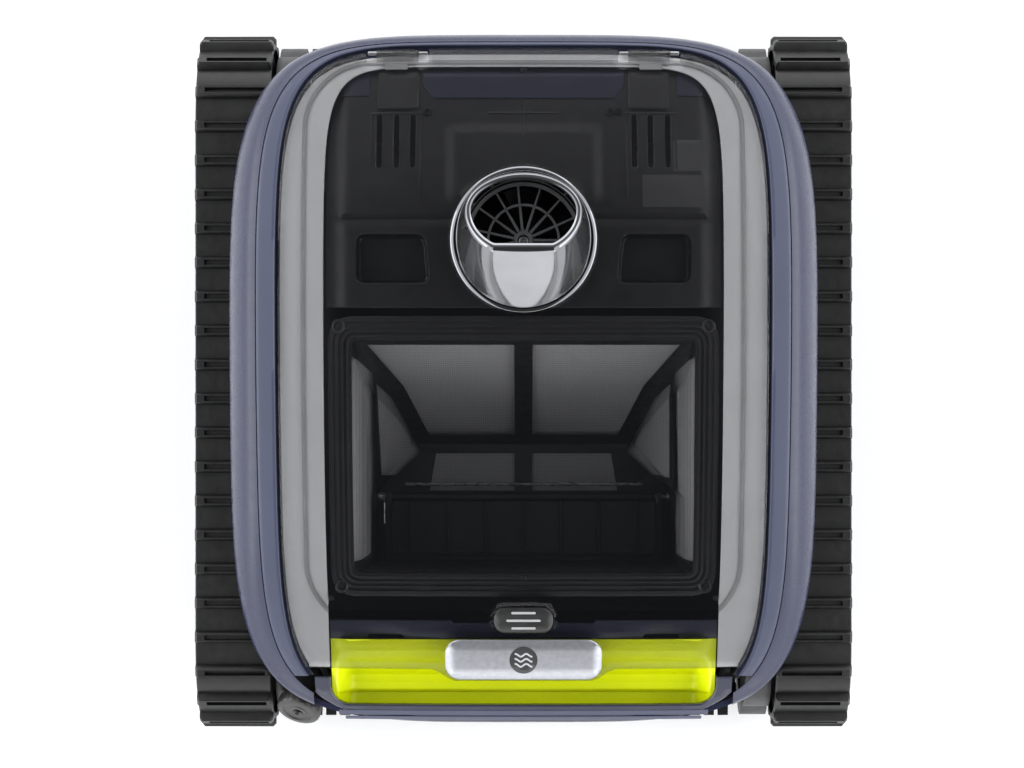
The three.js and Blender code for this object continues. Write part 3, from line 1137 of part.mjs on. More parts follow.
add("lid", lidGeometry(), MATERIALS.smoke);
add("outlet_nozzle", nozzleGeometry(), MATERIALS.chrome);
add("latch_button", buttonGeometry(), MATERIALS.black);
add("latch_plate", plateGeometry(), MATERIALS.silver);
for (const side of [-1, 1]) {
  const width = HINGE.to - HINGE.from + 2 * HINGE.cheek;
  const x = sideX(side, HINGE.from - HINGE.cheek, width);
  const pin = place(rod(HINGE.pin, x, x + width, 12, "x"), 0, HINGE.y, hingeZ);
  add(`${sideName(side)}_hinge_pin`, pin, MATERIALS.steel);
}

// ---------------------------------------------------------------- cable gland
const glandBody = alongGland(tube(GLAND.bore, GLAND.radius, -GLAND_LENGTH, -8 - GAP, 20));
add("cable_gland", glandBody, MATERIALS.black);
const nutProfile = [
  [GLAND.bore, -8], [GLAND.nutRadius, -8], [GLAND.nutRadius, -1.5], [GLAND.nutRadius - 1.5, 0], [4.5, 0],
  [GLAND.bore, -2],
];
add("gland_nut", alongGland(turned(nutProfile, 24)), MATERIALS.grey);

export default cleaner;
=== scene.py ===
"""A tracked swimming-pool robot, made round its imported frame.

The file is laid out as an add-on: sizes and colours are properties, each piece or group of like pieces has an
operator, and main() calls the operators in order. Shapes are worked out in millimetres; new_piece() turns
them into Blender's metres. The pieces under the lid all follow one domed surface, crown().
"""
import math

import bmesh
import bpy
import numpy as np
from bpy.props import FloatProperty, FloatVectorProperty, IntProperty, PointerProperty
from mathutils import Matrix, Vector, geometry


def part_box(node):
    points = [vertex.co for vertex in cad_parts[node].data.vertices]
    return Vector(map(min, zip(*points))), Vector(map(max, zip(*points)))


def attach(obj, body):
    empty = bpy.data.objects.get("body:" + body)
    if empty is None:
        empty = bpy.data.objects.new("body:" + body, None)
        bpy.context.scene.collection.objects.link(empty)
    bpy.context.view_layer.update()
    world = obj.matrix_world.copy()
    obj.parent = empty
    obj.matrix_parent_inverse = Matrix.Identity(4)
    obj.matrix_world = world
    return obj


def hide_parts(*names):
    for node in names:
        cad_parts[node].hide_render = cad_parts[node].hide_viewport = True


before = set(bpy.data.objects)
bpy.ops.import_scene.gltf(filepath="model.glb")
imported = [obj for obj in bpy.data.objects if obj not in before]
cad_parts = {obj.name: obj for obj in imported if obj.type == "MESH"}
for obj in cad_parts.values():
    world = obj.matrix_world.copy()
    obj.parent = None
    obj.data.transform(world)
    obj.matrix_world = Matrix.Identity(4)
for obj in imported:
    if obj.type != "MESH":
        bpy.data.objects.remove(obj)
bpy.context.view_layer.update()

bl_info = {
    "name": "Pool Robot Builder",
    "version": (1, 0, 0),
    "blender": (4, 5, 0),
    "location": "View3D > Sidebar > Pool Robot",
    "description": "Builds the visible pieces, materials and studio of a tracked pool robot",
    "category": "Object",
}

TAU = 2 * math.pi

# -------------------------------------------------------------------------------- the frame
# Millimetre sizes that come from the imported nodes.


def span(node):
    """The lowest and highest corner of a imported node, in millimetres."""
    low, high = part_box(node)
    return [1000 * v for v in low], [1000 * v for v in high]


TRACK_LOW, TRACK_HIGH = span("right_track")
TRACK_RADIUS = TRACK_HIGH[2] / 2
WHEEL_Y = TRACK_HIGH[1] - TRACK_RADIUS
LUG_HEIGHT = 5.5
BELT_THICKNESS = 3.5
BELT_RADIUS = TRACK_RADIUS - LUG_HEIGHT - BELT_THICKNESS / 2
WHEEL_LOW, WHEEL_HIGH = span("right_rear_wheel")
WHEEL_RADIUS = (WHEEL_HIGH[2] - WHEEL_LOW[2]) / 2
BRUSH_SHAFT_LOW, BRUSH_SHAFT_HIGH = span("rear_brush_shaft")
BRUSH_Y = (BRUSH_SHAFT_LOW[1] + BRUSH_SHAFT_HIGH[1]) / 2
BRUSH_Z = (BRUSH_SHAFT_LOW[2] + BRUSH_SHAFT_HIGH[2]) / 2
BRUSH_HALF, BRUSH_REAR, _ = span("rear_brush")[1]
BRUSH_RADIUS = BRUSH_REAR - BRUSH_Y

# The domed surface of the lid, and the outlines of the body about its centre. An outline is a
# superellipse: half width, half length, and how square its corners are.
CENTRE_Y = 0.5
CROWN_TOP = 206.0
CROWN_Y = 60.0
CROWN_FRONT = (236.0, 64.0)  # how far to the front, and how much lower it is there
CROWN_REAR = (142.0, 41.0)
CROWN_SIDE = (145.0, 10.0)  # how far to the side, and how much lower it is there
SHELL = (178.3, 211.2, 4.8)
RAIL_OUTER = (160.0, 205.2, 5.6)
RAIL_INNER = (148.2, 202.8, 6.1)
LID = (146.6, 201.2, 6.15)
DECK_OUTER = (145.6, 197.4, 6.2)
BESIDE_HULL = (139.3, 196.8, 9.0)
DECK_INNER = (119.4, 189.6, 8.8)
LID_THICKNESS = 3.0
LID_FRONT = -176.0
DECK_DROP = 4.8
HOOD_DROP = 9.0
HOOD_FRONT = 42.0
OUTLET_Y = 84.5
OUTLET_RADIUS = 43.8
DUCT_RADIUS = 35.5


def crown(x, y):
    """Height of the lid's top surface."""
    length, drop = CROWN_REAR if y > CROWN_Y else CROWN_FRONT
    return CROWN_TOP - drop * ((y - CROWN_Y) / length) ** 2 - CROWN_SIDE[1] * (abs(x) / CROWN_SIDE[0]) ** 2.4


def raised(surface, height):
    """A surface, raised by a height."""
    return lambda x, y: surface(x, y) + height


def under_crown(drop):
    """The domed surface, lowered."""
    return raised(crown, -drop)


def flat(outline, height):
    """A plan outline at one height."""
    return [(x, y, height) for x, y in outline]


def on_dome(outline, drop):
    """A plan outline laid on the domed surface, and lowered."""
    return [(x, y, crown(x, y) - drop) for x, y in outline]


def smoothed(value, low, high):
    """0 below low, 1 above high, and a soft step between."""
    t = min(1.0, max(0.0, (value - low) / (high - low)))
    return t * t * (3 - 2 * t)


def middle(node):
    """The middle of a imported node, in millimetres."""
    return [(a + b) / 2 for a, b in zip(*span(node))]


# -------------------------------------------------------------------------------- outlines


def evenly(points, count):
    """The same closed outline with its points evenly spaced."""
    loop = np.array([*points, points[0]], float)
    length = np.concatenate([[0], np.cumsum(np.hypot(*np.diff(loop, axis=0).T))])
    at = np.arange(count) / count * length[-1]
    return list(zip(np.interp(at, length, loop[:, 0]), np.interp(at, length, loop[:, 1])))


def superellipse(outline, count=240, grow=0.0):
    """Evenly spaced points of a body outline, from the front and anticlockwise."""
    a, b, n = outline[0] + grow, outline[1] + grow, outline[2]
    points = []
    for i in range(1440):
        t = i / 1440 * TAU - TAU / 4
        c, s = math.cos(t), math.sin(t)
        r = (abs(c / a) ** n + abs(s / b) ** n) ** (-1 / n)
        points.append((r * c, CENTRE_Y + r * s))
    return evenly(points, count)


def arc(outline, front, count=480, grow=0.0):
    """The part of a body outline behind a line across it, from its right end round the rear to its left."""
    return [p for p in superellipse(outline, count, grow) if p[1] > front]


def notched(outline, gaps, back):
    """An outline whose rear edge is cut forward to one line across each gap, a pair of x values."""
    result = []
    for here, there in zip(outline, outline[1:] + outline[:1]):
        if not any(low < here[0] < high and here[1] > back for low, high in gaps):
            result.append(here)
        if here[1] > back and there[1] > back:
            for low, high in gaps:
                for x, order in ((high, 1), (low, -1)):
                    if there[0] <= x < here[0]:
                        edge = (x, here[1] + (there[1] - here[1]) * (here[0] - x) / (here[0] - there[0]))
                        result += [edge, (x, back)][::order]
    return result


def rounded(x0, x1, y0, y1, radius, steps=8):
    """A rectangle with round corners."""
    points = []
    for cx, cy, start in (
        (x1 - radius, y0 + radius, -0.25), (x1 - radius, y1 - radius, 0.0),
        (x0 + radius, y1 - radius, 0.25), (x0 + radius, y0 + radius, 0.5),
    ):
        for i in range(steps + 1):
            t = TAU * (start + 0.25 * i / steps)
            points.append((cx + radius * math.cos(t), cy + radius * math.sin(t)))
    return points


def circle(radius, count=48, centre=(0.0, 0.0)):
    """A circle as a closed outline."""
    return [(centre[0] + radius * math.cos(TAU * i / count), centre[1] + radius * math.sin(TAU * i / count))
            for i in range(count)]


def softened(corners, radius, steps=5):
    """A polygon with its corners rounded off by arcs of about this radius."""
    points = []
    for i, corner in enumerate(corners):
        here = Vector(corner)
        before = (Vector(corners[i - 1]) - here)
        after = (Vector(corners[(i + 1) % len(corners)]) - here)
        reach = min(radius, 0.45 * before.length, 0.45 * after.length)
        start, end = here + before.normalized() * reach, here + after.normalized() * reach
        for k in range(steps + 1):
            t = k / steps
            points.append(tuple((1 - t) ** 2 * start + 2 * t * (1 - t) * here + t * t * end))
    return points


def both_sides(x0, x1, y0, y1, radius, steps):
    """A rectangle with round corners on each side of the cleaner."""
    return [rounded(*sorted((sign * x0, sign * x1)), y0, y1, radius, steps) for sign in (-1, 1)]


def mirrored(outline):
    """The same outline on the other side of the cleaner."""
    return [(-x, y) for x, y in reversed(outline)]


def area(outline):
    """Signed area: positive where the outline runs anticlockwise."""
    p = np.array(outline)
    q = np.roll(p, -1, axis=0)
    return 0.5 * float(np.sum(p[:, 0] * q[:, 1] - q[:, 0] * p[:, 1]))


def divided(outline, longest):
    """The outline, anticlockwise, with its long edges split."""
    points = outline if area(outline) > 0 else outline[::-1]
    result = []
    for (x0, y0), (x1, y1) in zip(points, points[1:] + points[:1]):
        pieces = max(1, math.ceil(math.hypot(x1 - x0, y1 - y0) / longest))
        result += [(x0 + (x1 - x0) * k / pieces, y0 + (y1 - y0) * k / pieces) for k in range(pieces)]
    return result


def offset(outline, distance):
    """An anticlockwise outline moved outwards along its normals."""
    p = np.array(outline)
    edge = np.roll(p, -1, axis=0) - p
    edge /= np.maximum(np.hypot(*edge.T), 1e-9)[:, None]
    normal = np.stack([edge[:, 1], -edge[:, 0]], axis=1)
    both = normal + np.roll(normal, 1, axis=0)
    both /= np.maximum(np.sum(both * both, axis=1), 0.6)[:, None] / 2
    return [tuple(q) for q in p + distance * both]


def inside(points, outline):
    """Which of the points lie within the outline."""
    p, a = np.array(points), np.array(outline)
    b = np.roll(a, -1, axis=0)
    x, y = p[:, 0][:, None], p[:, 1][:, None]
    spans = (a[:, 1] > y) != (b[:, 1] > y)
    rise = np.where(b[:, 1] == a[:, 1], 1e-12, b[:, 1] - a[:, 1])
    crossing = a[:, 0] + (y - a[:, 1]) / rise * (b[:, 0] - a[:, 0])
    return (np.sum(spans & (x < crossing), axis=1) % 2).astype(bool)


# -------------------------------------------------------------------------------- solids
# A shape is a list of points in millimetres and a list of faces.


def joined(*shapes):
    """Several shapes as one."""
    points, faces = [], []
    for more_points, more_faces in shapes:
        base = len(points)
        points += list(more_points)
        faces += [tuple(base + i for i in face) for face in more_faces]
    return points, faces


def moved(shape, matrix):
    """A shape through a 4 x 4 matrix in millimetres."""
    points, faces = shape
    return [tuple(matrix @ Vector(p)) for p in points], faces


def shifted(shape, x=0.0, y=0.0, z=0.0):
    """A shape moved along the axes."""
    return moved(shape, Matrix.Translation((x, y, z)))


def flipped(shape):
    """A shape on the other side of the cleaner."""
    points, faces = shape
    return [(-x, y, z) for x, y, z in points], [face[::-1] for face in faces]


def loft(loops, ring=False):
    """Closed loops of equal length joined in turn. The last joins the first, or both ends are capped."""
    count = len(loops[0])
    points = [tuple(p) for loop in loops for p in loop]
    faces = []
    rows = len(loops) if ring else len(loops) - 1
    for row in range(rows):
        here, there = row * count, (row + 1) % len(loops) * count
        for i in range(count):
            j = (i + 1) % count
            faces.append((here + i, here + j, there + j, there + i))
    if not ring:
        faces.append(tuple(range(count))[::-1])
        faces.append(tuple(range(len(points) - count, len(points))))
    return points, faces


def lathe(profile, segments=64):
    """A closed profile of (radius, height) turned about Z."""
    loops = []
    for i in range(segments):
        t = TAU * i / segments
        loops.append([(r * math.cos(t), r * math.sin(t), h) for r, h in profile])
    return loft(loops, ring=True)


def rod(radius, low, high, segments=32, edge=0.4):
    """A round bar along Z with broken edges."""
    profile = [(0.0, low), (radius - edge, low), (radius, low + edge), (radius, high - edge),
               (radius - edge, high), (0.0, high)]
    return lathe(profile, segments)


def tube(bore, radius, low, high, segments=48, edge=0.3):
    """A round tube along Z with broken edges."""
    profile = [(bore + edge, low), (radius - edge, low), (radius, low + edge), (radius, high - edge),
               (radius - edge, high), (bore + edge, high), (bore, high - edge), (bore, low + edge)]
    return lathe(profile, segments)


ALONG_X = Matrix(((0, 0, 1, 0), (1, 0, 0, 0), (0, 1, 0, 0), (0, 0, 0, 1)))  # plan XY to YZ, height to X


def slab(outline, top, bottom, holes=(), cell=8.0, edge=0.5):
    """A plate over a plan outline, between two surfaces, with bevelled rims and an even mesh inside them."""
    rims = [divided(outline, cell), *(divided(hole, cell) for hole in holes)]
    insets = [offset(rim, -edge if i == 0 else edge) for i, rim in enumerate(rims)]
    xs, ys = zip(*rims[0])
    grid = []
    rows = int((max(ys) - min(ys)) / (0.87 * cell)) + 1
    for j in range(rows + 1):
        y = min(ys) + j * 0.87 * cell
        start = min(xs) + (0.5 * cell if j % 2 else 0.0)
        grid += [(start + i * cell, y) for i in range(int((max(xs) - start) / cell) + 1)]
    clear = inside(grid, offset(insets[0], -0.45 * cell))
    for hole in insets[1:]:
        clear &= ~inside(grid, offset(hole, 0.45 * cell))
    inner = [p for p, keep in zip(grid, clear) if keep]
    plan = [p for inset in insets for p in inset] + inner
    edges, start = [], 0
    for inset in insets:
        edges += [(start + i, start + (i + 1) % len(inset)) for i in range(len(inset))]
        start += len(inset)
    found = geometry.delaunay_2d_cdt([Vector(p) for p in plan], edges, [], 0, 1e-6)
    points, triangles, sources = found[0], found[2], found[3]
    plan = [tuple(p) for p in points]
    at = {source: i for i, merged in enumerate(sources) for source in merged}
    centres = [tuple(sum((points[i] for i in tri), Vector((0, 0))) / 3) for tri in triangles]
    kept = inside(centres, insets[0])
    for hole in insets[1:]:
        kept &= ~inside(centres, hole)
    triangles = [tri for tri, keep in zip(triangles, kept) if keep]
    solid = [(x, y, top(x, y)) for x, y in plan] + [(x, y, bottom(x, y)) for x, y in plan]
    count = len(plan)
    faces = [tuple(tri) for tri in triangles] + [tuple(count + i for i in reversed(tri)) for tri in triangles]
    start = 0
    for which, rim in enumerate(rims):
        base = len(solid)
        solid += [(x, y, top(x, y) - edge) for x, y in rim] + [(x, y, bottom(x, y) + edge) for x, y in rim]
        for i in range(len(rim)):
            j = (i + 1) % len(rim)
            a, b = at[start + i], at[start + j]
            upper, lower = (base + i, base + j), (base + len(rim) + i, base + len(rim) + j)
            band = [(a, upper[0], upper[1], b), (upper[0], lower[0], lower[1], upper[1]),
                    (lower[0], count + a, count + b, lower[1])]
            faces += band if which == 0 else [face[::-1] for face in band]
        start += len(rim)
    return solid, faces


def plate(outline, low, high, holes=(), cell=12.0, edge=0.5):
    """A flat plate between two heights."""
    return slab(outline, lambda x, y: high, lambda x, y: low, holes, cell, edge)


def bar(x0, x1, y0, y1, low, high, radius=0.6, edge=0.4):
    """A block with rounded upright edges and bevelled rims."""
    return plate(rounded(x0, x1, y0, y1, radius, 2), low, high, edge=edge, cell=60.0)


def pipe(path, radius, sides=12):
    """A round wire along an open path."""
    points = [Vector(p) for p in path]
    tangents = [(points[min(i + 1, len(points) - 1)] - points[max(i - 1, 0)]).normalized()
                for i in range(len(points))]
    normal = tangents[0].orthogonal().normalized()
    loops = []
    for here, tangent in zip(points, tangents):
        normal = (normal - tangent * normal.dot(tangent)).normalized()
        side = tangent.cross(normal)
        loops.append([here + radius * (math.cos(TAU * k / sides) * normal + math.sin(TAU * k / sides) * side)
                      for k in range(sides)])
    return loft(loops)


def linked(name, data):
    """A new object in the scene."""
    thing = bpy.data.objects.new(name, data)
    bpy.context.scene.collection.objects.link(thing)
    return thing


def metres(points):
    """Points in millimetres, in metres."""
    return [tuple(0.001 * v for v in point) for point in points]


def helper_object(name, shape):
    """A shape as an object in metres: doubles merged and normals outwards."""
    points, faces = shape
    mesh = bpy.data.meshes.new(name)
    mesh.from_pydata(metres(points), [], faces)
    work = bmesh.new()
    work.from_mesh(mesh)
    bmesh.ops.remove_doubles(work, verts=work.verts, dist=2e-6)
    bmesh.ops.recalc_face_normals(work, faces=work.faces)
    work.to_mesh(mesh)
    work.free()
    return linked(name, mesh)


def discard(*things):
    """Removes helper objects and their meshes."""
    for thing in things:
        mesh = thing.data
        bpy.data.objects.remove(thing)
        bpy.data.meshes.remove(mesh)


def trimmed(piece, cutter):
    """Cuts a shape out of a piece."""
    tool = helper_object("cutter", cutter)
    cut = piece.modifiers.new("cut", "BOOLEAN")
    cut.operation, cut.solver, cut.object = "DIFFERENCE", "EXACT", tool
    baked(piece)
    discard(tool)


def new_piece(name, shape, material, body="chassis", replaces=(), smooth=35.0, cuts=()):
    """A finished piece at the origin, with shapes cut out of it, riding on its body."""
    piece = helper_object(name, shape)
    for cutter in cuts:
        trimmed(piece, cutter)
    return dressed(piece, material, body, replaces, smooth)


def dressed(piece, material, body, replaces, smooth=35.0):
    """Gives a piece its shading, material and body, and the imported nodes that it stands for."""
    mesh = piece.data
    mesh.shade_smooth()
    mesh.set_sharp_from_angle(angle=math.radians(smooth))
    mesh.materials.clear()
    mesh.materials.append(MATERIALS[material])
    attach(piece, body)
    if replaces:
        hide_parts(*replaces)
    return piece


BEVEL_ANGLE = 32  # degrees: edges sharper than this are broken


def refined(name, node, material, body="chassis", bevel=0.6, more=None):
    """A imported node's own shape with its edges broken, and with more shapes added to it."""
    mesh = bpy.data.meshes.new(name)
    work = bmesh.new()
    work.from_mesh(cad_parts[node].data)
    bmesh.ops.remove_doubles(work, verts=work.verts, dist=1e-5)
    bmesh.ops.dissolve_limit(work, angle_limit=math.radians(1.5), verts=work.verts, edges=work.edges)
    work.to_mesh(mesh)
    work.free()
    piece = linked(name, mesh)
    edges = piece.modifiers.new("broken edges", "BEVEL")
    edges.width, edges.segments = 0.001 * bevel, 2
    edges.limit_method, edges.angle_limit = "ANGLE", math.radians(BEVEL_ANGLE)
    edges.use_clamp_overlap = True
    piece = baked(piece)
    if more:
        extra = helper_object("extra", more)
        work = bmesh.new()
        work.from_mesh(piece.data)
        work.from_mesh(extra.data)
        work.to_mesh(piece.data)
        work.free()
        discard(extra)
    return dressed(piece, material, body, (node,))


def baked(piece):
    """Turns what a piece's modifiers make into its plain mesh, and removes them."""
    view = bpy.context.evaluated_depsgraph_get()
    mesh = bpy.data.meshes.new_from_object(piece.evaluated_get(view), depsgraph=view)
    mesh.name = piece.name
    piece.modifiers.clear()
    piece.data = mesh
    return piece


# -------------------------------------------------------------------------------- node trees


def add_node(tree, kind, values=None, **settings):
    """Adds a node. values maps an input's name or number to a value or to another node's output."""
    node = tree.nodes.new(kind)
    for key, value in settings.items():
        setattr(node, key, value)
    for key, value in (values or {}).items():
        socket = node.inputs[key]
        if isinstance(value, bpy.types.NodeSocket):
            tree.links.new(value, socket)
        else:
            socket.default_value = value
    return node


def geometry_tree(name, inputs):
    """A geometry tree with a Geometry output and the named inputs: name to (socket type, default)."""
    tree = bpy.data.node_groups.new(name, "GeometryNodeTree")
    tree.interface.new_socket("Geometry", in_out="OUTPUT", socket_type="NodeSocketGeometry")
    for label, (kind, default) in inputs.items():
        socket = tree.interface.new_socket(label, in_out="INPUT", socket_type=kind)
        if default is not None:
            socket.default_value = default
    return tree, tree.nodes.new("NodeGroupInput")


def given(tree, inputs, *names):
    """The shapes of the objects that a tree's inputs name."""
    return [add_node(tree, "GeometryNodeObjectInfo", {"Object": inputs.outputs[name]}).outputs["Geometry"]
            for name in names]


def placed_on(tree, points, instance, turn):
    """A shape at each point, turned."""
    values = {"Points": points, "Instance": instance, "Rotation": turn}
    return add_node(tree, "GeometryNodeInstanceOnPoints", values).outputs[0]


def together(tree, *shapes):
    """Several shapes in a tree as one."""
    both = add_node(tree, "GeometryNodeJoinGeometry")
    for shape in shapes:
        tree.links.new(shape, both.inputs[0])
    return both.outputs[0]


def ended(tree, source, material):
    """Ends a tree: instances made real, and the material set."""
    real = add_node(tree, "GeometryNodeRealizeInstances", {"Geometry": source})
    painted = add_node(tree, "GeometryNodeSetMaterial", {"Geometry": real.outputs[0], "Material": material})
    add_node(tree, "NodeGroupOutput", {"Geometry": painted.outputs[0]})
    return tree


def from_tree(name, tree, values):
    """A plain mesh object made by a geometry tree, with its inputs set by identifier."""
    piece = linked(name, bpy.data.meshes.new(name))
    modifier = piece.modifiers.new(name, "NODES")
    modifier.node_group = tree
    for item in tree.interface.items_tree:
        if item.item_type == "SOCKET" and item.in_out == "INPUT" and item.name in values:
            modifier[item.identifier] = values[item.name]
    return baked(piece)


# -------------------------------------------------------------------------------- materials


def linear(colour):
    """A colour as sRGB hex, such as "#2c3350", as linear RGBA."""
    parts = [int(colour[i:i + 2], 16) / 255 for i in (1, 3, 5)]
    return (*(c / 12.92 if c <= 0.04045 else ((c + 0.055) / 1.055) ** 2.4 for c in parts), 1.0)


def rgba(colour):
    """Linear RGBA of a hex string or of a colour property."""
    return linear(colour) if isinstance(colour, str) else (*colour, 1.0)


def new_material(name, **constants):
    """A material with its shader, whose constants are set on the shader's own sockets."""
    material = bpy.data.materials.new(name)
    material.use_nodes = True
    tree = material.node_tree
    tree.nodes.clear()
    shader = add_node(tree, "ShaderNodeBsdfPrincipled", constants)
    add_node(tree, "ShaderNodeOutputMaterial", {"Surface": shader.outputs[0]})
    place = add_node(tree, "ShaderNodeTexCoord").outputs["Object"]
    return material, tree, shader, place


def per_metre(millimetres):
    """A noise scale whose features are about this many millimetres apart."""
    return 1000.0 / millimetres


def between_colours(tree, share, first, second, start, end):
    """A ramp from one colour to another."""
    ramp = add_node(tree, "ShaderNodeValToRGB", {"Fac": share})
    for element, position, tint in zip(ramp.color_ramp.elements, (start, end), (first, second)):
        element.position, element.color = position, rgba(tint)
    return ramp


def mottled(tree, shader, place, dark, light, size, socket="Base Color"):
    """A soft change between two colours, or two numbers, over patches of a size in millimetres."""
    noise = add_node(tree, "ShaderNodeTexNoise", {"Vector": place, "Scale": per_metre(size), "Detail": 4.0,
                                                  "Roughness": 0.55})
    if socket == "Base Color":
        change = between_colours(tree, noise.outputs[0], dark, light, 0.3, 0.7)
    else:
        change = add_node(tree, "ShaderNodeMapRange", {
            "Value": noise.outputs[0], "From Min": 0.3, "From Max": 0.7, "To Min": dark, "To Max": light})
    tree.links.new(change.outputs[0], shader.inputs[socket])


def grained(tree, shader, place, size, depth, detail=2.0):
    """A bump of grains of a size in millimetres, and a depth in millimetres."""
    values = {"Vector": place, "Scale": per_metre(size), "Detail": detail}
    noise = add_node(tree, "ShaderNodeTexNoise", values)
    bump = add_node(tree, "ShaderNodeBump", {"Height": noise.outputs[0], "Distance": 0.001 * depth,
                                             "Strength": 1.0})
    tree.links.new(bump.outputs[0], shader.inputs["Normal"])


def moulded_abs(name, dark, light, gloss, grain_mm, grain_depth, ior=1.53):
    """Moulded plastic: an even body colour, a little flow mottle, and the tool's fine grain in its gloss."""
    material, tree, shader, place = new_material(name, IOR=ior)
    mottled(tree, shader, place, dark, light, 35.0)
    mottled(tree, shader, place, gloss * 0.85, gloss * 1.2, 9.0, "Roughness")
    grained(tree, shader, place, grain_mm, grain_depth)
    return material


def rubber(name, dark, light, roughness, grain_mm):
    """Moulded EPDM rubber: a matt black with a grey bloom in its hollows and a coarse, soft grain."""
    material, tree, shader, place = new_material(name, IOR=1.52)
    mottled(tree, shader, place, dark, light, 14.0)
    mottled(tree, shader, place, roughness * 0.9, min(1.0, roughness * 1.15), 5.0, "Roughness")
    grained(tree, shader, place, grain_mm, 0.06, 4.0)
    return material


def metal(name, dark, light, roughness, grain, depth=0.004, stretch=(1.0, 1.0, 1.0)):
    """A metal. stretch draws the finish out into brush lines along an axis where it is small."""
    material, tree, shader, place = new_material(name, Metallic=1.0)
    mapped = add_node(tree, "ShaderNodeMapping", {"Vector": place, "Scale": stretch}).outputs[0]
    mottled(tree, shader, mapped, dark, light, grain * 6)
    mottled(tree, shader, mapped, roughness * 0.8, roughness * 1.25, grain, "Roughness")
    grained(tree, shader, mapped, grain, depth)
    return material


def smoked_polycarbonate(name, tint, clearness):
    """Polished polycarbonate with a light smoke tint: clear, hard and glossy, with faint handling haze."""
    material, tree, shader, place = new_material(name, IOR=1.58)
    shader.inputs["Base Color"].default_value = rgba(tint)
    shader.inputs["Alpha"].default_value = clearness
    mottled(tree, shader, place, 0.03, 0.07, 60.0, "Roughness")
    return material


def woven_mesh(name, thread, gap, pitch_mm):
    """Woven polyester filter cloth. Its real threads are about 0.3 mm apart; drawn coarser so they show."""
    material, tree, shader, place = new_material(name, Roughness=0.85, IOR=1.5)
    waves = [add_node(tree, "ShaderNodeTexWave", {"Vector": place, "Scale": per_metre(pitch_mm) * TAU / 20},
                      bands_direction=axis, wave_profile="SIN").outputs["Fac"] for axis in ("X", "Y")]
    weave = add_node(tree, "ShaderNodeMath", {0: waves[0], 1: waves[1]}, operation="MULTIPLY").outputs[0]
    ramp = between_colours(tree, weave, thread, gap, 0.35, 0.9)
    tree.links.new(ramp.outputs[0], shader.inputs["Base Color"])
    bump = add_node(tree, "ShaderNodeBump", {"Height": weave, "Distance": 0.00015, "Strength": 0.6})
    tree.links.new(bump.outputs[0], shader.inputs["Normal"])
    return material


MATERIALS = {}


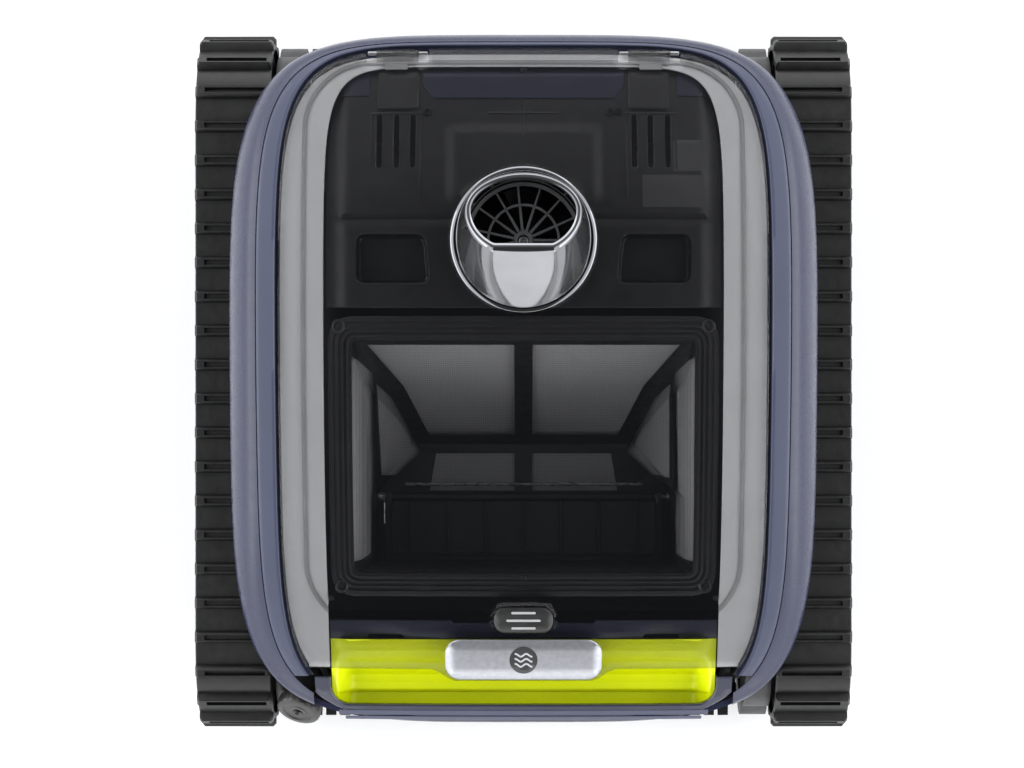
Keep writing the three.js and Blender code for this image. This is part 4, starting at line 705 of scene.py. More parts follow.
def make_materials(colours):
    """All the finishes, by the names that the pieces ask for."""
    m = MATERIALS
    m.clear()
    # A deep, even blue with a soft, wide highlight, so the fender reads as one smooth moulding.
    m["navy"] = moulded_abs("navy_gloss_abs", colours.navy_dark, colours.navy, 0.28, 1.2, 0.001, ior=1.45)
    # The same blue painted a shade paler, as painted sheen for the light the band catches where it faces up,
    # and duller, so that the band stands out from the fender.
    m["rail"] = moulded_abs("navy_satin_abs", colours.rail_dark, colours.rail, 0.34, 0.9, 0.001, ior=1.45)
    # Near black with a fine spark grain, which breaks the light up on the hull and basket.
    m["black"] = moulded_abs("black_textured_abs", "#121214", "#18181b", 0.46, 0.7, 0.008)
    # Smooth charcoal, dark enough for the ridges to show by their edges alone.
    m["hood"] = moulded_abs("charcoal_satin_abs", "#0c0c0d", "#121213", 0.4, 1.4, 0.0008)
    # A pale, dull grey: a bright line round the dark parts under the lid.
    m["grey"] = moulded_abs("light_grey_satin_asa", colours.deck_dark, colours.deck, 0.4, 0.8, 0.003)
    # A strong yellow-green with a satin sheen that follows the grip's curve.
    m["lime"] = moulded_abs("lime_satin_abs", colours.lime_dark, colours.lime, 0.32, 0.9, 0.003)
    # Matt black with a grey bloom in its hollows and a coarse, soft grain.
    m["track"] = rubber("black_epdm_track_rubber", "#070707", "#0d0d0d", 0.42, 1.6)
    # A lighter, duller black than the tracks, soft at the paddles' tips.
    m["brush"] = rubber("black_pvc_brush", "#101010", "#191919", 0.5, 1.0)
    # A plain mid grey with no sheen, like a soft cord.
    m["seal"] = moulded_abs("grey_silicone_seal", "#8f8f90", "#9f9fa0", 0.5, 1.2, 0.01)
    # A dark mirror: it takes its light and shade from what stands round it.
    m["chrome"] = metal("chrome_plated_abs", "#727376", "#7e7f82", 0.06, 8.0, 0.001)
    # A bright metallic paint whose highlight is broad and soft.
    m["silver"] = metal("satin_silver_paint", "#9fa1a6", "#adafb4", 0.36, 0.5, 0.001)
    # Bright metal with fine turning lines along its length.
    m["steel"] = metal("stainless_steel_turned", "#a8a9aa", "#c2c3c4", 0.28, 0.8, 0.004, (0.15, 1.0, 1.0))
    # Dull, slightly mottled plating.
    m["motor"] = metal("zinc_plated_steel_can", "#8f9296", "#a9acb0", 0.36, 1.4, 0.004)
    # Clear, with a little smoke in it and sharp reflections.
    m["smoke"] = smoked_polycarbonate("smoked_polycarbonate", colours.lid_tint, colours.lid_density)
    # A pale grey weave whose threads can be made out close to.
    m["cloth"] = woven_mesh("woven_polyester_filter", colours.cloth, "#6a6a6b", 1.3)
    # An off-white, waxy plastic.
    m["acetal"] = moulded_abs("white_acetal", "#cfcfc8", "#dcdcd6", 0.38, 1.0, 0.004, ior=1.48)
    # A glossy dark green film.
    m["board"] = moulded_abs("green_solder_mask", "#174a2b", "#1f5a34", 0.35, 2.0, 0.01)
    # A smooth dark grey film, a little lighter than the hood round it.
    m["label"] = moulded_abs("printed_polyester_label", "#2e2e2f", "#373738", 0.5, 1.5, 0.001)
    # Blackened metal with a thin, cool glint.
    m["dark_steel"] = metal("black_oxide_steel", "#2b2b2d", "#3a3a3c", 0.35, 1.0)
    # Blue so dark that only its highlights show the colour. On the handle, its extra darkness over the shell's
    # blue is painted shade for the shade and dark reflections on the handle's front.
    m["navy_deep_and_painted_shade"] = moulded_abs("deep_navy_abs", "#171b2e", "#1c2036", 0.35, 1.0, 0.002)
    # A mid grey paint that catches light on each rib.
    m["guard"] = moulded_abs("grey_painted_guard", "#58595b", "#68696b", 0.38, 1.0, 0.006)
    # A very dark, warm grey with a dry surface.
    m["gland"] = moulded_abs("grey_nylon_gland", "#1d1c1b", "#252423", 0.42, 0.8, 0.01)
    # A dark ground for the badge's waves.
    m["badge"] = moulded_abs("graphite_inset", "#1d1e20", "#232427", 0.35, 1.0, 0.004)


# -------------------------------------------------------------------------------- properties


class CleanerSizes(bpy.types.PropertyGroup):
    """Sizes that a user would change."""

    lug_count: IntProperty(name="Lugs", description="Lugs round each track", default=46, min=12)
    lug_width: FloatProperty(name="Lug width", description="Size of a lug's tip along the track",
                             unit="LENGTH", default=0.0066)
    lug_groove: FloatProperty(name="Lug groove", description="Width of the slot in a lug", unit="LENGTH",
                              default=0.0028)
    wheel_spokes: IntProperty(name="Spokes", description="Spokes in each wheel", default=6, min=3)
    brush_rows: IntProperty(name="Brush rows", description="Rows of paddles round a brush", default=8, min=3)
    brush_paddles: IntProperty(name="Brush paddles", description="Paddles in each row", default=30, min=4)
    guard_ribs: IntProperty(name="Guard ribs", description="Ribs of the outlet guard", default=15, min=3)
    propeller_blades: IntProperty(name="Blades", description="Blades of the propeller", default=4, min=2)
    cover_ribs: IntProperty(name="Cover ribs", description="Ribs in the recess of each side cover",
                            default=9, min=2)
    flap_ribs: IntProperty(name="Flap ribs", description="Ribs across the inlet flap", default=7, min=2)
    screw_head: FloatProperty(name="Screw head", description="Diameter of a casing screw's head",
                              unit="LENGTH", default=0.0056)


def colour(name, description, default):
    """A colour property whose default is given as sRGB hex."""
    return FloatVectorProperty(name=name, description=description, subtype="COLOR", size=3,
                               min=0.0, max=1.0, default=linear(default)[:3])


class CleanerColours(bpy.types.PropertyGroup):
    """Colours, and how dense the lid's tint is."""

    navy: colour("Navy", "Shell", "#272b42")
    navy_dark: colour("Navy, dark", "Shell, in its darker patches", "#24283e")
    # The rail's colour is the shell's blue made paler: painted sheen for the light it catches facing up.
    rail: colour("Rail", "Rail and handle", "#3a3e52")
    rail_dark: colour("Rail, dark", "Rail and handle, in their darker patches", "#373b4e")
    deck: colour("Deck", "Light grey deck under the lid's edge", "#d2d2d4")
    deck_dark: colour("Deck, dark", "Deck, in its darker patches", "#cbcbcd")
    lime: colour("Lime", "Grip", "#e4f000")
    lime_dark: colour("Lime, dark", "Grip, in its darker patches", "#d9e600")
    cloth: colour("Cloth", "Threads of the filter cloth", "#a2a2a3")
    lid_tint: colour("Lid tint", "Smoke in the lid", "#0c0d10")
    lid_density: FloatProperty(name="Lid density", description="How much of the lid's tint shows",
                               default=0.27, min=0.0, max=1.0, subtype="FACTOR")


def sizes():
    """The size settings."""
    return bpy.context.scene.cleaner_sizes


def mm(value):
    """A length property in millimetres."""
    return 1000.0 * value


class PieceOperator:
    """What the piece operators share."""

    bl_options = {"REGISTER", "UNDO"}

    def execute(self, context):
        self.make(sizes())
        return {"FINISHED"}


# -------------------------------------------------------------------------------- tracks


def on_track(distance, outward):
    """A point (y, z) of the track's loop: how far round it is, and how far outside the belt's middle."""
    quarter, straight = TAU / 4 * BELT_RADIUS, 2 * WHEEL_Y
    s = distance % (4 * quarter + 2 * straight)
    r = BELT_RADIUS + outward

    def around(centre, angle):
        """A point on the bend round one wheel."""
        return centre + r * math.cos(angle), TRACK_RADIUS + r * math.sin(angle)

    if s < quarter:
        return around(WHEEL_Y, s / BELT_RADIUS)
    if s < quarter + straight:
        return WHEEL_Y - (s - quarter), TRACK_RADIUS + r
    if s < 3 * quarter + straight:
        return around(-WHEEL_Y, (s - straight) / BELT_RADIUS)
    if s < 3 * quarter + 2 * straight:
        return -WHEEL_Y + (s - 3 * quarter - straight), TRACK_RADIUS - r
    return around(WHEEL_Y, (s - 2 * straight) / BELT_RADIUS)


TRACK_LENGTH = TAU * BELT_RADIUS + 4 * WHEEL_Y


def belt_shape(width):
    """The belt with its inner guide rib, from x = 0 to its width."""
    half, middle, rib = BELT_THICKNESS / 2, width / 2, 4.3
    section = [(0, -half), (middle - 3, -half), (middle - 2.3, -half - rib), (middle + 2.3, -half - rib),
               (middle + 3, -half), (width, -half), (width, half - 0.6), (width - 0.6, half), (0.6, half),
               (0, half - 0.6)]
    stations = 184
    loops = []
    for i in range(stations):
        at = TRACK_LENGTH * i / stations
        loops.append([(x, *on_track(at, out)) for x, out in section])
    return loft(loops, ring=True)


def lug_shape(width, tip, groove):
    """One lug on the belt: two rims with a slot between them, closed by a block at each end."""

    def section(x, height, depth):
        """The lug's outline at x, with a slot of a depth."""
        half, slot_half = tip / 2, groove / 2
        floor = height - depth
        profile = [(-half - 0.8, -0.6), (-half, height - 1.1), (-half + 1.0, height),
                   (-slot_half - 0.15, height), (-slot_half + 0.1, floor), (slot_half - 0.1, floor),
                   (slot_half + 0.15, height), (half - 1.0, height), (half, height - 1.1), (half + 0.8, -0.6)]
        return [(x, y, z) for y, z in profile]

    low, high, deep = LUG_HEIGHT - 1.6, LUG_HEIGHT, 2.8
    return loft([
        section(0.0, low, 0.0), section(1.6, high, 0.0), section(3.0, high, 0.0), section(3.3, high, deep),
        section(width - 6.3, high, deep), section(width - 6.0, high, 0.0), section(width - 1.4, high, 0.0),
        section(width, low, 0.0),
    ])


def lug_tree():
    """Places a lug at even steps along a closed path in the YZ plane, and joins them to the belt."""
    tree, inputs = geometry_tree("track lugs", {
        "Path": ("NodeSocketObject", None), "Lug": ("NodeSocketObject", None),
        "Belt": ("NodeSocketObject", None), "Count": ("NodeSocketInt", 46),
        "Rubber": ("NodeSocketMaterial", None)})
    path, lug, belt = given(tree, inputs, "Path", "Lug", "Belt")
    curve = add_node(tree, "GeometryNodeMeshToCurve", {"Mesh": path}).outputs[0]
    even = {"Curve": curve, "Count": inputs.outputs["Count"]}
    steps = add_node(tree, "GeometryNodeResampleCurve", even).outputs[0]
    tangent = add_node(tree, "GeometryNodeInputTangent").outputs[0]
    sideways = {0: (1.0, 0.0, 0.0), 1: tangent}
    outward = add_node(tree, "ShaderNodeVectorMath", sideways, operation="CROSS_PRODUCT").outputs[0]
    along = add_node(tree, "FunctionNodeAlignRotationToVector", {"Vector": tangent}, axis="Y").outputs[0]
    upright = add_node(tree, "FunctionNodeAlignRotationToVector", {"Rotation": along, "Vector": outward},
                       axis="Z", pivot_axis="Y").outputs[0]
    lugs = placed_on(tree, steps, lug, upright)
    return ended(tree, together(tree, belt, lugs), inputs.outputs["Rubber"])


class CLEANER_OT_tracks(PieceOperator, bpy.types.Operator):
    """Makes both rubber tracks"""

    bl_idname = "cleaner.tracks"
    bl_label = "Tracks"

    def make(self, size):
        tree = lug_tree()
        width = TRACK_HIGH[0] - TRACK_LOW[0]
        belt = helper_object("belt", belt_shape(width))
        lug = helper_object("lug", lug_shape(width, mm(size.lug_width), mm(size.lug_groove)))
        stations = 736
        seat = BELT_THICKNESS / 2 - 0.5  # the lugs are sunk half a millimetre into the belt
        ring = [(0.0, *on_track(-TRACK_LENGTH * i / stations, seat)) for i in range(stations)]
        mesh = bpy.data.meshes.new("track path")
        mesh.from_pydata(metres(ring), [(i, (i + 1) % stations) for i in range(stations)], [])
        path = linked("track path", mesh)
        for side in ("left", "right"):
            node = side + "_track"
            track = from_tree(side + "_rubber_track", tree, {
                "Path": path, "Lug": lug, "Belt": belt, "Count": size.lug_count,
                "Rubber": MATERIALS["track"]})
            work = bmesh.new()
            work.from_mesh(track.data)
            inner = 0.001 * span(node)[0][0] if side == "right" else 0.001 * span(node)[1][0]
            for vertex in work.verts:
                vertex.co.x = inner + vertex.co.x if side == "right" else inner - vertex.co.x
            if side == "left":
                bmesh.ops.reverse_faces(work, faces=work.faces)
            work.to_mesh(track.data)
            work.free()
            dressed(track, "track", "chassis", (node,))
        discard(belt, lug, path)


# -------------------------------------------------------------------------------- wheels


def wheel_shape(spokes):
    """A wheel about the X axis with its outer face towards +X: grooved rim, dished web and hub."""
    half = (WHEEL_HIGH[0] - WHEEL_LOW[0]) / 2
    rim, inner, groove = WHEEL_RADIUS, WHEEL_RADIUS - 7.5, WHEEL_RADIUS - 5.4
    tyre = lathe([
        (inner, -half + 0.5), (inner + 0.5, -half), (rim - 1, -half), (rim, -half + 1), (rim, -4.6),
        (rim - 0.6, -4), (groove, -4), (groove, 4), (rim - 0.6, 4), (rim, 4.6), (rim, half - 1),
        (rim - 1, half),
        (inner + 1.2, half), (inner, half - 1.2), (inner, half - 3), (inner - 1.6, half - 4.6),
        (inner - 1.6, half - 9), (inner, half - 10.6),
    ], 96)
    hub = lathe([
        (5.2, -half + 2), (12.4, -half + 2), (13, -half + 2.6), (13, half - 5), (12.4, half - 2.6),
        (10.5, half - 2), (9.6, half - 2), (9.2, half - 3.2), (5.2, half - 3.2),
    ], 48)
    cap = lathe([(0.0, half - 3.6), (9.0, half - 3.6), (9.0, half - 2.4), (8.2, half - 1.7),
                 (5.0, half - 1.2), (0.0, half - 1.0)], 40)
    windows = []
    for k in range(spokes):
        turn, spread = TAU * (k + 0.5) / spokes, TAU / 2 / spokes - 0.15
        corners = [(17.5, -spread * 0.82), (inner - 5.5, -spread), (inner - 4.0, 0.0), (inner - 5.5, spread),
                   (17.5, spread * 0.82)]
        places = [(r * math.cos(turn + t), r * math.sin(turn + t)) for r, t in corners]
        windows.append(softened(places, 4.0, 4))
    web = plate(circle(inner - 0.4, 96), half - 9.6, half - 5.4, windows, cell=9.0, edge=0.7)
    rib = bar(12.0, inner - 0.5, -1.1, 1.1, half - 5.6, half - 4.0)
    ribs = [moved(rib, Matrix.Rotation(TAU * k / spokes, 4, "Z")) for k in range(spokes)]
    return moved(joined(tyre, hub, cap, web, *ribs), ALONG_X)


class CLEANER_OT_wheels(PieceOperator, bpy.types.Operator):
    """Makes the four wheels that carry the tracks"""

    bl_idname = "cleaner.wheels"
    bl_label = "Wheels"

    def make(self, size):
        wheel = wheel_shape(size.wheel_spokes)
        for corner in ("left_front", "left_rear", "right_front", "right_rear"):
            shape = flipped(wheel) if corner.startswith("left") else wheel
            node = corner + "_wheel"
            new_piece(corner + "_track_wheel", shifted(shape, *middle(node)), "black", node,
                      (node,))


# -------------------------------------------------------------------------------- brushes


def paddle_shape(length, thickness):
    """One paddle of a brush, standing on the core along +Z with its tip leaning along +Y."""
    foot, tip = 12.0, BRUSH_RADIUS - 0.2
    loops = []
    for share in (0.0, 0.3, 0.7, 1.0):
        z = foot + (tip - foot) * share
        half = (thickness / 2) * (1.25 - 0.55 * share)
        lean = 3.2 * share ** 2
        wide = length / 2 * (1.0 - 0.12 * share)
        near, far = lean - half, lean + half
        loops.append([(-wide, near, z), (wide, near, z), (wide, far, z), (-wide, far, z)])
    return loft(loops)


def paddle_tree():
    """Rows of paddles round a core along X. Each row starts half a step after the last."""
    tree, inputs = geometry_tree("brush paddles", {
        "Core": ("NodeSocketObject", None), "Paddle": ("NodeSocketObject", None),
        "Rows": ("NodeSocketInt", 8), "Paddles": ("NodeSocketInt", 30), "Length": ("NodeSocketFloat", 0.26),
        "Rubber": ("NodeSocketMaterial", None)})
    core, paddle = given(tree, inputs, "Core", "Paddle")

    def maths(operation, first, second):
        """One sum."""
        return add_node(tree, "ShaderNodeMath", {0: first, 1: second}, operation=operation).outputs[0]

    rows, paddles = inputs.outputs["Rows"], inputs.outputs["Paddles"]
    points = add_node(tree, "GeometryNodeMeshLine", {"Count": maths("MULTIPLY", rows, paddles),
                                                     "Offset": (0.0, 0.0, 0.0)}).outputs[0]
    index = add_node(tree, "GeometryNodeInputIndex").outputs[0]
    row = maths("FLOOR", maths("DIVIDE", index, paddles), 0.0)
    step = maths("MODULO", index, paddles)
    shift = maths("MULTIPLY", maths("MODULO", row, 2.0), 0.5)
    share = maths("DIVIDE", maths("ADD", maths("ADD", step, shift), 0.25), paddles)
    x = maths("MULTIPLY", maths("SUBTRACT", share, 0.5), inputs.outputs["Length"])
    angle = maths("MULTIPLY", maths("DIVIDE", row, rows), TAU)
    at = add_node(tree, "ShaderNodeCombineXYZ", {"X": x}).outputs[0]
    turn = add_node(tree, "ShaderNodeCombineXYZ", {"X": angle}).outputs[0]
    places = add_node(tree, "GeometryNodeSetPosition", {"Geometry": points, "Position": at}).outputs[0]
    ring = placed_on(tree, places, paddle, turn)
    return ended(tree, together(tree, core, ring), inputs.outputs["Rubber"])


class CLEANER_OT_brushes(PieceOperator, bpy.types.Operator):
    """Makes the two paddle brushes"""

    bl_idname = "cleaner.brushes"
    bl_label = "Brushes"

    def make(self, size):
        half = BRUSH_HALF
        ridges = [(13.2 if i % 2 else 12.4, -half + 2 + (2 * half - 4) * i / 60) for i in range(61)]
        core = moved(lathe([(6.2, -half), (12.6, -half), *ridges, (12.6, half), (6.2, half)], 40), ALONG_X)
        core_object = helper_object("core", core)
        pitch = 2 * half / size.brush_paddles
        paddle = helper_object("paddle", paddle_shape(pitch - 1.6, 2.2))
        tree = paddle_tree()
        for end, sign in (("front", -1), ("rear", 1)):
            brush = from_tree(end + "_paddle_brush", tree, {
                "Core": core_object, "Paddle": paddle, "Rows": size.brush_rows, "Paddles": size.brush_paddles,
                "Length": 0.002 * (half - 1), "Rubber": MATERIALS["brush"]})
            brush.data.transform(Matrix.Translation((0, 0.001 * sign * BRUSH_Y, 0.001 * BRUSH_Z)))
            dressed(brush, "brush", end + "_brush", (end + "_brush",), smooth=40)
        discard(core_object, paddle)


# -------------------------------------------------------------------------------- screws


def screw_shape(diameter, standing=0.0):
    """A pan-head screw standing along +Z on its seat, with a cross recess."""
    r = diameter / 2
    head = lathe([(0.0, -1.2), (r * 0.45, -1.2), (r * 0.45, 0.0), (r, 0.05), (r, 0.35 * r),
                  (r * 0.82, 0.62 * r), (r * 0.5, 0.74 * r), (r * 0.42, 0.74 * r),
                  (r * 0.3, 0.3 * r), (0.0, 0.25 * r)], 20)
    wings = [moved(bar(r * 0.2, r * 0.62, -0.22, 0.22, 0.62 * r, 0.8 * r, 0.1, 0.05),
                   Matrix.Rotation(TAU * k / 4, 4, "Z")) for k in range(4)]
    return shifted(joined(head, *wings), z=standing)


def screw_tree():
    """Puts a screw at each point of a mesh, along the point's own direction."""
    tree, inputs = geometry_tree("screws", {
        "Places": ("NodeSocketObject", None), "Screw": ("NodeSocketObject", None),
        "Steel": ("NodeSocketMaterial", None)})
    places, screw = given(tree, inputs, "Places", "Screw")
    stored = add_node(tree, "GeometryNodeInputNamedAttribute", {"Name": "direction"}, data_type="FLOAT_VECTOR")
    ahead = {"Vector": stored.outputs[0]}
    turn = add_node(tree, "FunctionNodeAlignRotationToVector", ahead, axis="Z").outputs[0]
    return ended(tree, placed_on(tree, places, screw, turn), inputs.outputs["Steel"])


def screws(name, seats, diameter, material, body="chassis"):
    """Screws on their seats: a list of (point, direction) in millimetres."""
    mesh = bpy.data.meshes.new(name + " places")
    mesh.from_pydata(metres(point for point, _ in seats), [], [])
    stored = mesh.attributes.new("direction", "FLOAT_VECTOR", "POINT")
    stored.data.foreach_set("vector", [v for _, direction in seats for v in direction])
    places = linked(name + " places", mesh)
    screw = helper_object(name + " screw", screw_shape(diameter))
    piece = from_tree(name, screw_tree(), {"Places": places, "Screw": screw, "Steel": MATERIALS[material]})
    discard(places, screw)
    return dressed(piece, material, body, ())


# -------------------------------------------------------------------------------- under the body


class CLEANER_OT_hull(PieceOperator, bpy.types.Operator):
    """Makes the hull, its bottom plate and the side frames"""

    bl_idname = "cleaner.hull"
    bl_label = "Hull and side frames"

    def make(self, size):
        head = mm(size.screw_head)
        refined("hull_tub", "hull", "black", bevel=0.8)
        low, high = span("bottom_plate")
        ribs = [bar(x - 0.9, x + 0.9, -62, 128, low[2] - 1.4, low[2] + 0.6) for x in (-96, -48, 0, 48, 96)]
        ribs += [bar(-112, 112, y - 0.9, y + 0.9, low[2] - 1.4, low[2] + 0.6) for y in (-58, 34, 124)]
        refined("bottom_cover", "bottom_plate", "black", bevel=0.5,
                more=joined(*ribs))
        seats = [((x, y, low[2]), (0, 0, -1)) for x in (low[0] + 9, high[0] - 9)
                 for y in (low[1] + 9, -30, 50, high[1] - 9)]
        seats += [((x, low[1] + 9, low[2]), (0, 0, -1)) for x in (-45, 45)]
        screws("bottom_screws", seats, head, "steel")
        for side in ("left", "right"):
            sign = 1 if side == "right" else -1
            node = side + "_side_frame"
            outer = span(node)[1 if sign > 0 else 0][0]
            rings = []
            for y, z, radius in ((WHEEL_Y, TRACK_RADIUS, 13), (-WHEEL_Y, TRACK_RADIUS, 13),
                                 (BRUSH_Y, BRUSH_Z, 11), (-BRUSH_Y, BRUSH_Z, 11)):
                ring = moved(tube(radius - 2.4, radius, -0.4, 1.1, 36), ALONG_X)
                rings.append(shifted(flipped(ring) if sign < 0 else ring, outer, y, z))
            refined(side + "_axle_frame", node, "black", bevel=0.7,
                    more=joined(*rings))
            seats = [((outer, y + dy, BRUSH_Z + dz), (sign, 0, 0)) for y in (BRUSH_Y, -BRUSH_Y)
                     for dy, dz in ((0, 19), (16, -8), (-16, -8))]
            screws(side + "_frame_screws", seats, head, "steel")


COVER_RECESS = 4.0  # how deep the ribbed recess is


class CLEANER_OT_covers(PieceOperator, bpy.types.Operator):
    """Makes the panels inside the track loops"""

    bl_idname = "cleaner.covers"
    bl_label = "Side covers"

    def make(self, size):
        for side in ("left", "right"):
            sign = 1 if side == "right" else -1
            node = side + "_side_cover"
            low, high = span(node)
            outer = high[0] if sign > 0 else low[0]
            floor = outer - sign * COVER_RECESS
            rib = moved(bar(-1.5, 1.5, -19, 19, -0.4, 2.2, 1.2), ALONG_X)
            bars = [shifted(rib, 0.0, y, TRACK_RADIUS) for y in np.linspace(-60, 60, size.cover_ribs)]
            badge = moved(plate(rounded(-9, 9, -9, 9, 8.9, 12), -0.4, 0.9, cell=30, edge=0.4), ALONG_X)
            more = joined(*bars, shifted(badge, COVER_RECESS - 0.05, 0, TRACK_RADIUS + WHEEL_RADIUS - 14))
            more = flipped(more) if sign < 0 else more
            refined(side + "_track_cover", node, "navy", bevel=0.9,
                    more=shifted(more, floor))
            seats = [((floor, y, TRACK_RADIUS + z), (sign, 0, 0)) for y in (-70, 70) for z in (-20, 20)]
            screws(side + "_cover_screws", seats, mm(size.screw_head), "steel")


# -------------------------------------------------------------------------------- shell and rail


def mixed(first, second, share):
    """An outline between two, or beyond them."""
    return tuple(a + (b - a) * share for a, b in zip(first, second))


def shell_foot(x, y):
    """Height of the shell's lower edge: it clears the lugs, and hangs lower between the tracks."""
    clear = TRACK_RADIUS + 3.5
    past = min(max(0.0, abs(y) - WHEEL_Y), clear - 1)
    between = smoothed(TRACK_LOW[0] - 6 - abs(x), 0.0, 30.0)
    return TRACK_RADIUS + math.sqrt(clear ** 2 - past ** 2) - 14 * between


def shell_shape():
    """The shell: a fender that rolls over from the rail to a wall above the tracks."""
    crease = (RAIL_OUTER[0] + 0.1, RAIL_OUTER[1] + 0.1, RAIL_OUTER[2])
    section = []
    for i in range(13):
        t = math.sin(TAU / 4 * i / 12)
        section.append((mixed(crease, SHELL, t), 0.0, 0.46 * (1 - math.sqrt(1 - min(1.0, t ** 1.8)))))
    section += [(SHELL, grow, share) for grow, share in
                ((-0.2, 0.62), (-0.45, 0.82), (-0.65, 0.955), (-0.9, 0.985), (-1.5, 1.0), (-2.9, 1.0),
                 (-3.5, 0.97), (-3.2, 0.55))]
    section += [(mixed(crease, SHELL, 0.84), -2.4, 0.34), (mixed(crease, SHELL, 0.5), -1.2, 0.2),
                (crease, 0.0, 0.14)]
    loops = []
    for outline, grow, share in section:
        loop = []
        for x, y in superellipse(outline, 360, grow):
            top = crown(x, y) - 0.45
            fuller = 1 - 0.8 * smoothed(abs(y), 165.0, 204.0) * (1 - share)
            loop.append((x, y, top + (shell_foot(x, y) - top) * share * fuller))
        loops.append(loop)
    return loft(loops, ring=True)


def rail_shape():
    """The band round the lid: a slanted top, a rolled outer edge and a flange under the deck."""
    section = [(RAIL_INNER, 0.0, 2.2), (RAIL_INNER, 0.15, 0.6), (RAIL_INNER, 0.9, 0.05)]
    section += [(mixed(RAIL_INNER, RAIL_OUTER, t), 0.0, 0.4 * t) for t in (0.2, 0.4, 0.6, 0.8)]
    section += [(RAIL_OUTER, grow, drop) for grow, drop in
                ((-1.2, 0.42), (-0.35, 0.75), (0.0, 1.6), (0.0, 6.6), (-0.6, 7.4), (-3.0, 11.3))]
    section += [(BESIDE_HULL, 0.0, 11.3), (BESIDE_HULL, 0.0, 9.0), (RAIL_INNER, 0.0, 9.0)]
    return loft([on_dome(superellipse(outline, 360, grow), drop) for outline, grow, drop in section], True)


def block(x0, x1, y0, y1, z0, z1):
    """A plain box, for cutting."""
    return loft([[(x0, y0, z), (x1, y0, z), (x1, y1, z), (x0, y1, z)] for z in (z0, z1)])


class CLEANER_OT_shell(PieceOperator, bpy.types.Operator):
    """Makes the shell over the tracks and the rail round the lid"""

    bl_idname = "cleaner.shell"
    bl_label = "Shell and rail"

    def make(self, size):
        mouth = block(-129.4, 129.4, -260, -150, HANDLE_LOW[2] + 1.4, 300)
        nut = moved(lathe([(0.0, -80), (15.0, -80), (15.0, 20), (0.0, 20)], 48), gland_place())
        new_piece("fender_shell", shell_shape(), "navy", "chassis", ("shell",), 40,
                  (mouth, nut))
        new_piece("lid_rail", rail_shape(), "rail", "chassis", ("side_rail",), 40,
                  [block(-200, 200, -260, HANDLE_CORNER, 0, 300)])


# -------------------------------------------------------------------------------- handle


HANDLE_LOW, HANDLE_HIGH = span("carry_handle")
HANDLE_CORNER = HANDLE_HIGH[1] + 0.4
HANDLE_REAR = -199.1
HANDLE_HALF = -span("handle_scoop")[0][0] + 0.4
HANDLE_THICKNESS = 12.0


def handle_top(x, y):
    """The handle's upper surface, which rolls over at its front."""
    return crown(x, y) - 0.1 - 2.6 * smoothed(-y, 205.5, 211.5) ** 1.5


def handle_shape():
    """The carry handle: a bar across the front with a leg back along each side."""
    front = HANDLE_LOW[1]
    bow = [(x, y) for x, y in superellipse((RAIL_OUTER[0] - 4, -front + CENTRE_Y, 5.0), 720)
           if y < HANDLE_CORNER - 0.4 and abs(x) < HANDLE_HIGH[0] - 0.1]
    bow.sort()
    pocket = [p for p in rounded(-HANDLE_HALF, HANDLE_HALF, HANDLE_REAR, -100, 12, 8)
              if p[1] < HANDLE_CORNER - 0.4]
    right = sorted((p for p in pocket if p[0] > 0), key=lambda p: (-p[1], -p[0]))
    left = sorted((p for p in pocket if p[0] < 0), key=lambda p: (p[1], -p[0]))
    end = HANDLE_CORNER - 0.5
    outline = [*bow, (bow[-1][0], end), (HANDLE_HALF, end), *right, *left, (-HANDLE_HALF, end),
               (bow[0][0], end)]
    return slab(outline, handle_top, under_crown(HANDLE_THICKNESS - 0.3), cell=4.0, edge=1.0)


# Distance along the cleaner, and height, of the grip's upper face from its back to its front.
SCOOP_SECTION = (
    (-157.4, 145.5), (-160.5, 140.0), (-165.5, 133.0), (-171.4, 126.6), (-176.5, 117.5), (-181.6, 111.6),
    (-186.8, 109.6), (-190.9, 108.9), (-192.2, 107.6), (-192.8, 102.2), (-193.8, 101.2), (-199.3, 101.0),
)


def scoop_shape():
    """The grip under the handle: a curved back, a low step and a floor, with walls rising at both ends."""
    low, high = span("handle_scoop")
    half, radius, front = high[0], 11.6, low[1] - 2.4
    ys, zs = zip(*SCOOP_SECTION)

    def floor(y):
        """Height of the section at a distance along the cleaner."""
        return float(np.interp(-y, [-v for v in ys], zs))

    stations = [*np.linspace(-half, -half + 26, 27), *np.linspace(-half + 30, half - 30, 30),
                *np.linspace(half - 26, half, 27)]
    along = sorted({*np.linspace(front, high[1], 44), *ys, -192.0, -192.5, -193.3})
    loops = []
    for x in stations:
        edge = half - abs(x)
        reach = radius - math.sqrt(max(0.0, radius ** 2 - max(0.0, radius - edge) ** 2))
        upper, lower = [], []
        for y in along:
            at = max(y, front + reach)
            wall = (1 - smoothed(edge, 2.2, 15.0)) ** 1.6
            rim = crown(x, at) - 7.5
            height = floor(at) + (rim - floor(at)) * wall
            upper.append((x, at, height))
            lower.append((x, at, min(floor(at), height) - 3.0 - (0.0 if at < -188 else 2.0)))
        loops.append(upper + lower[::-1])
    return loft(loops)


def cross_bar_outline():
    """The bar behind the grip, with tab notches in both edges."""
    half, front, back = HANDLE_HALF - 0.2, -157.0, -145.5
    notch, step = front + 2.6, back - 1.8
    lower = [(-half, front), (-96, front), (-94.5, notch), (-74, notch), (-72.5, front), (-19, front),
             (19, front), (72.5, front), (74, notch), (94.5, notch), (96, front), (half, front)]
    upper = [(half, back), (44, back), (43, step), (21, step), (20, back), (-20, back), (-21, step),
             (-43, step), (-44, back), (-half, back)]
    return lower + upper


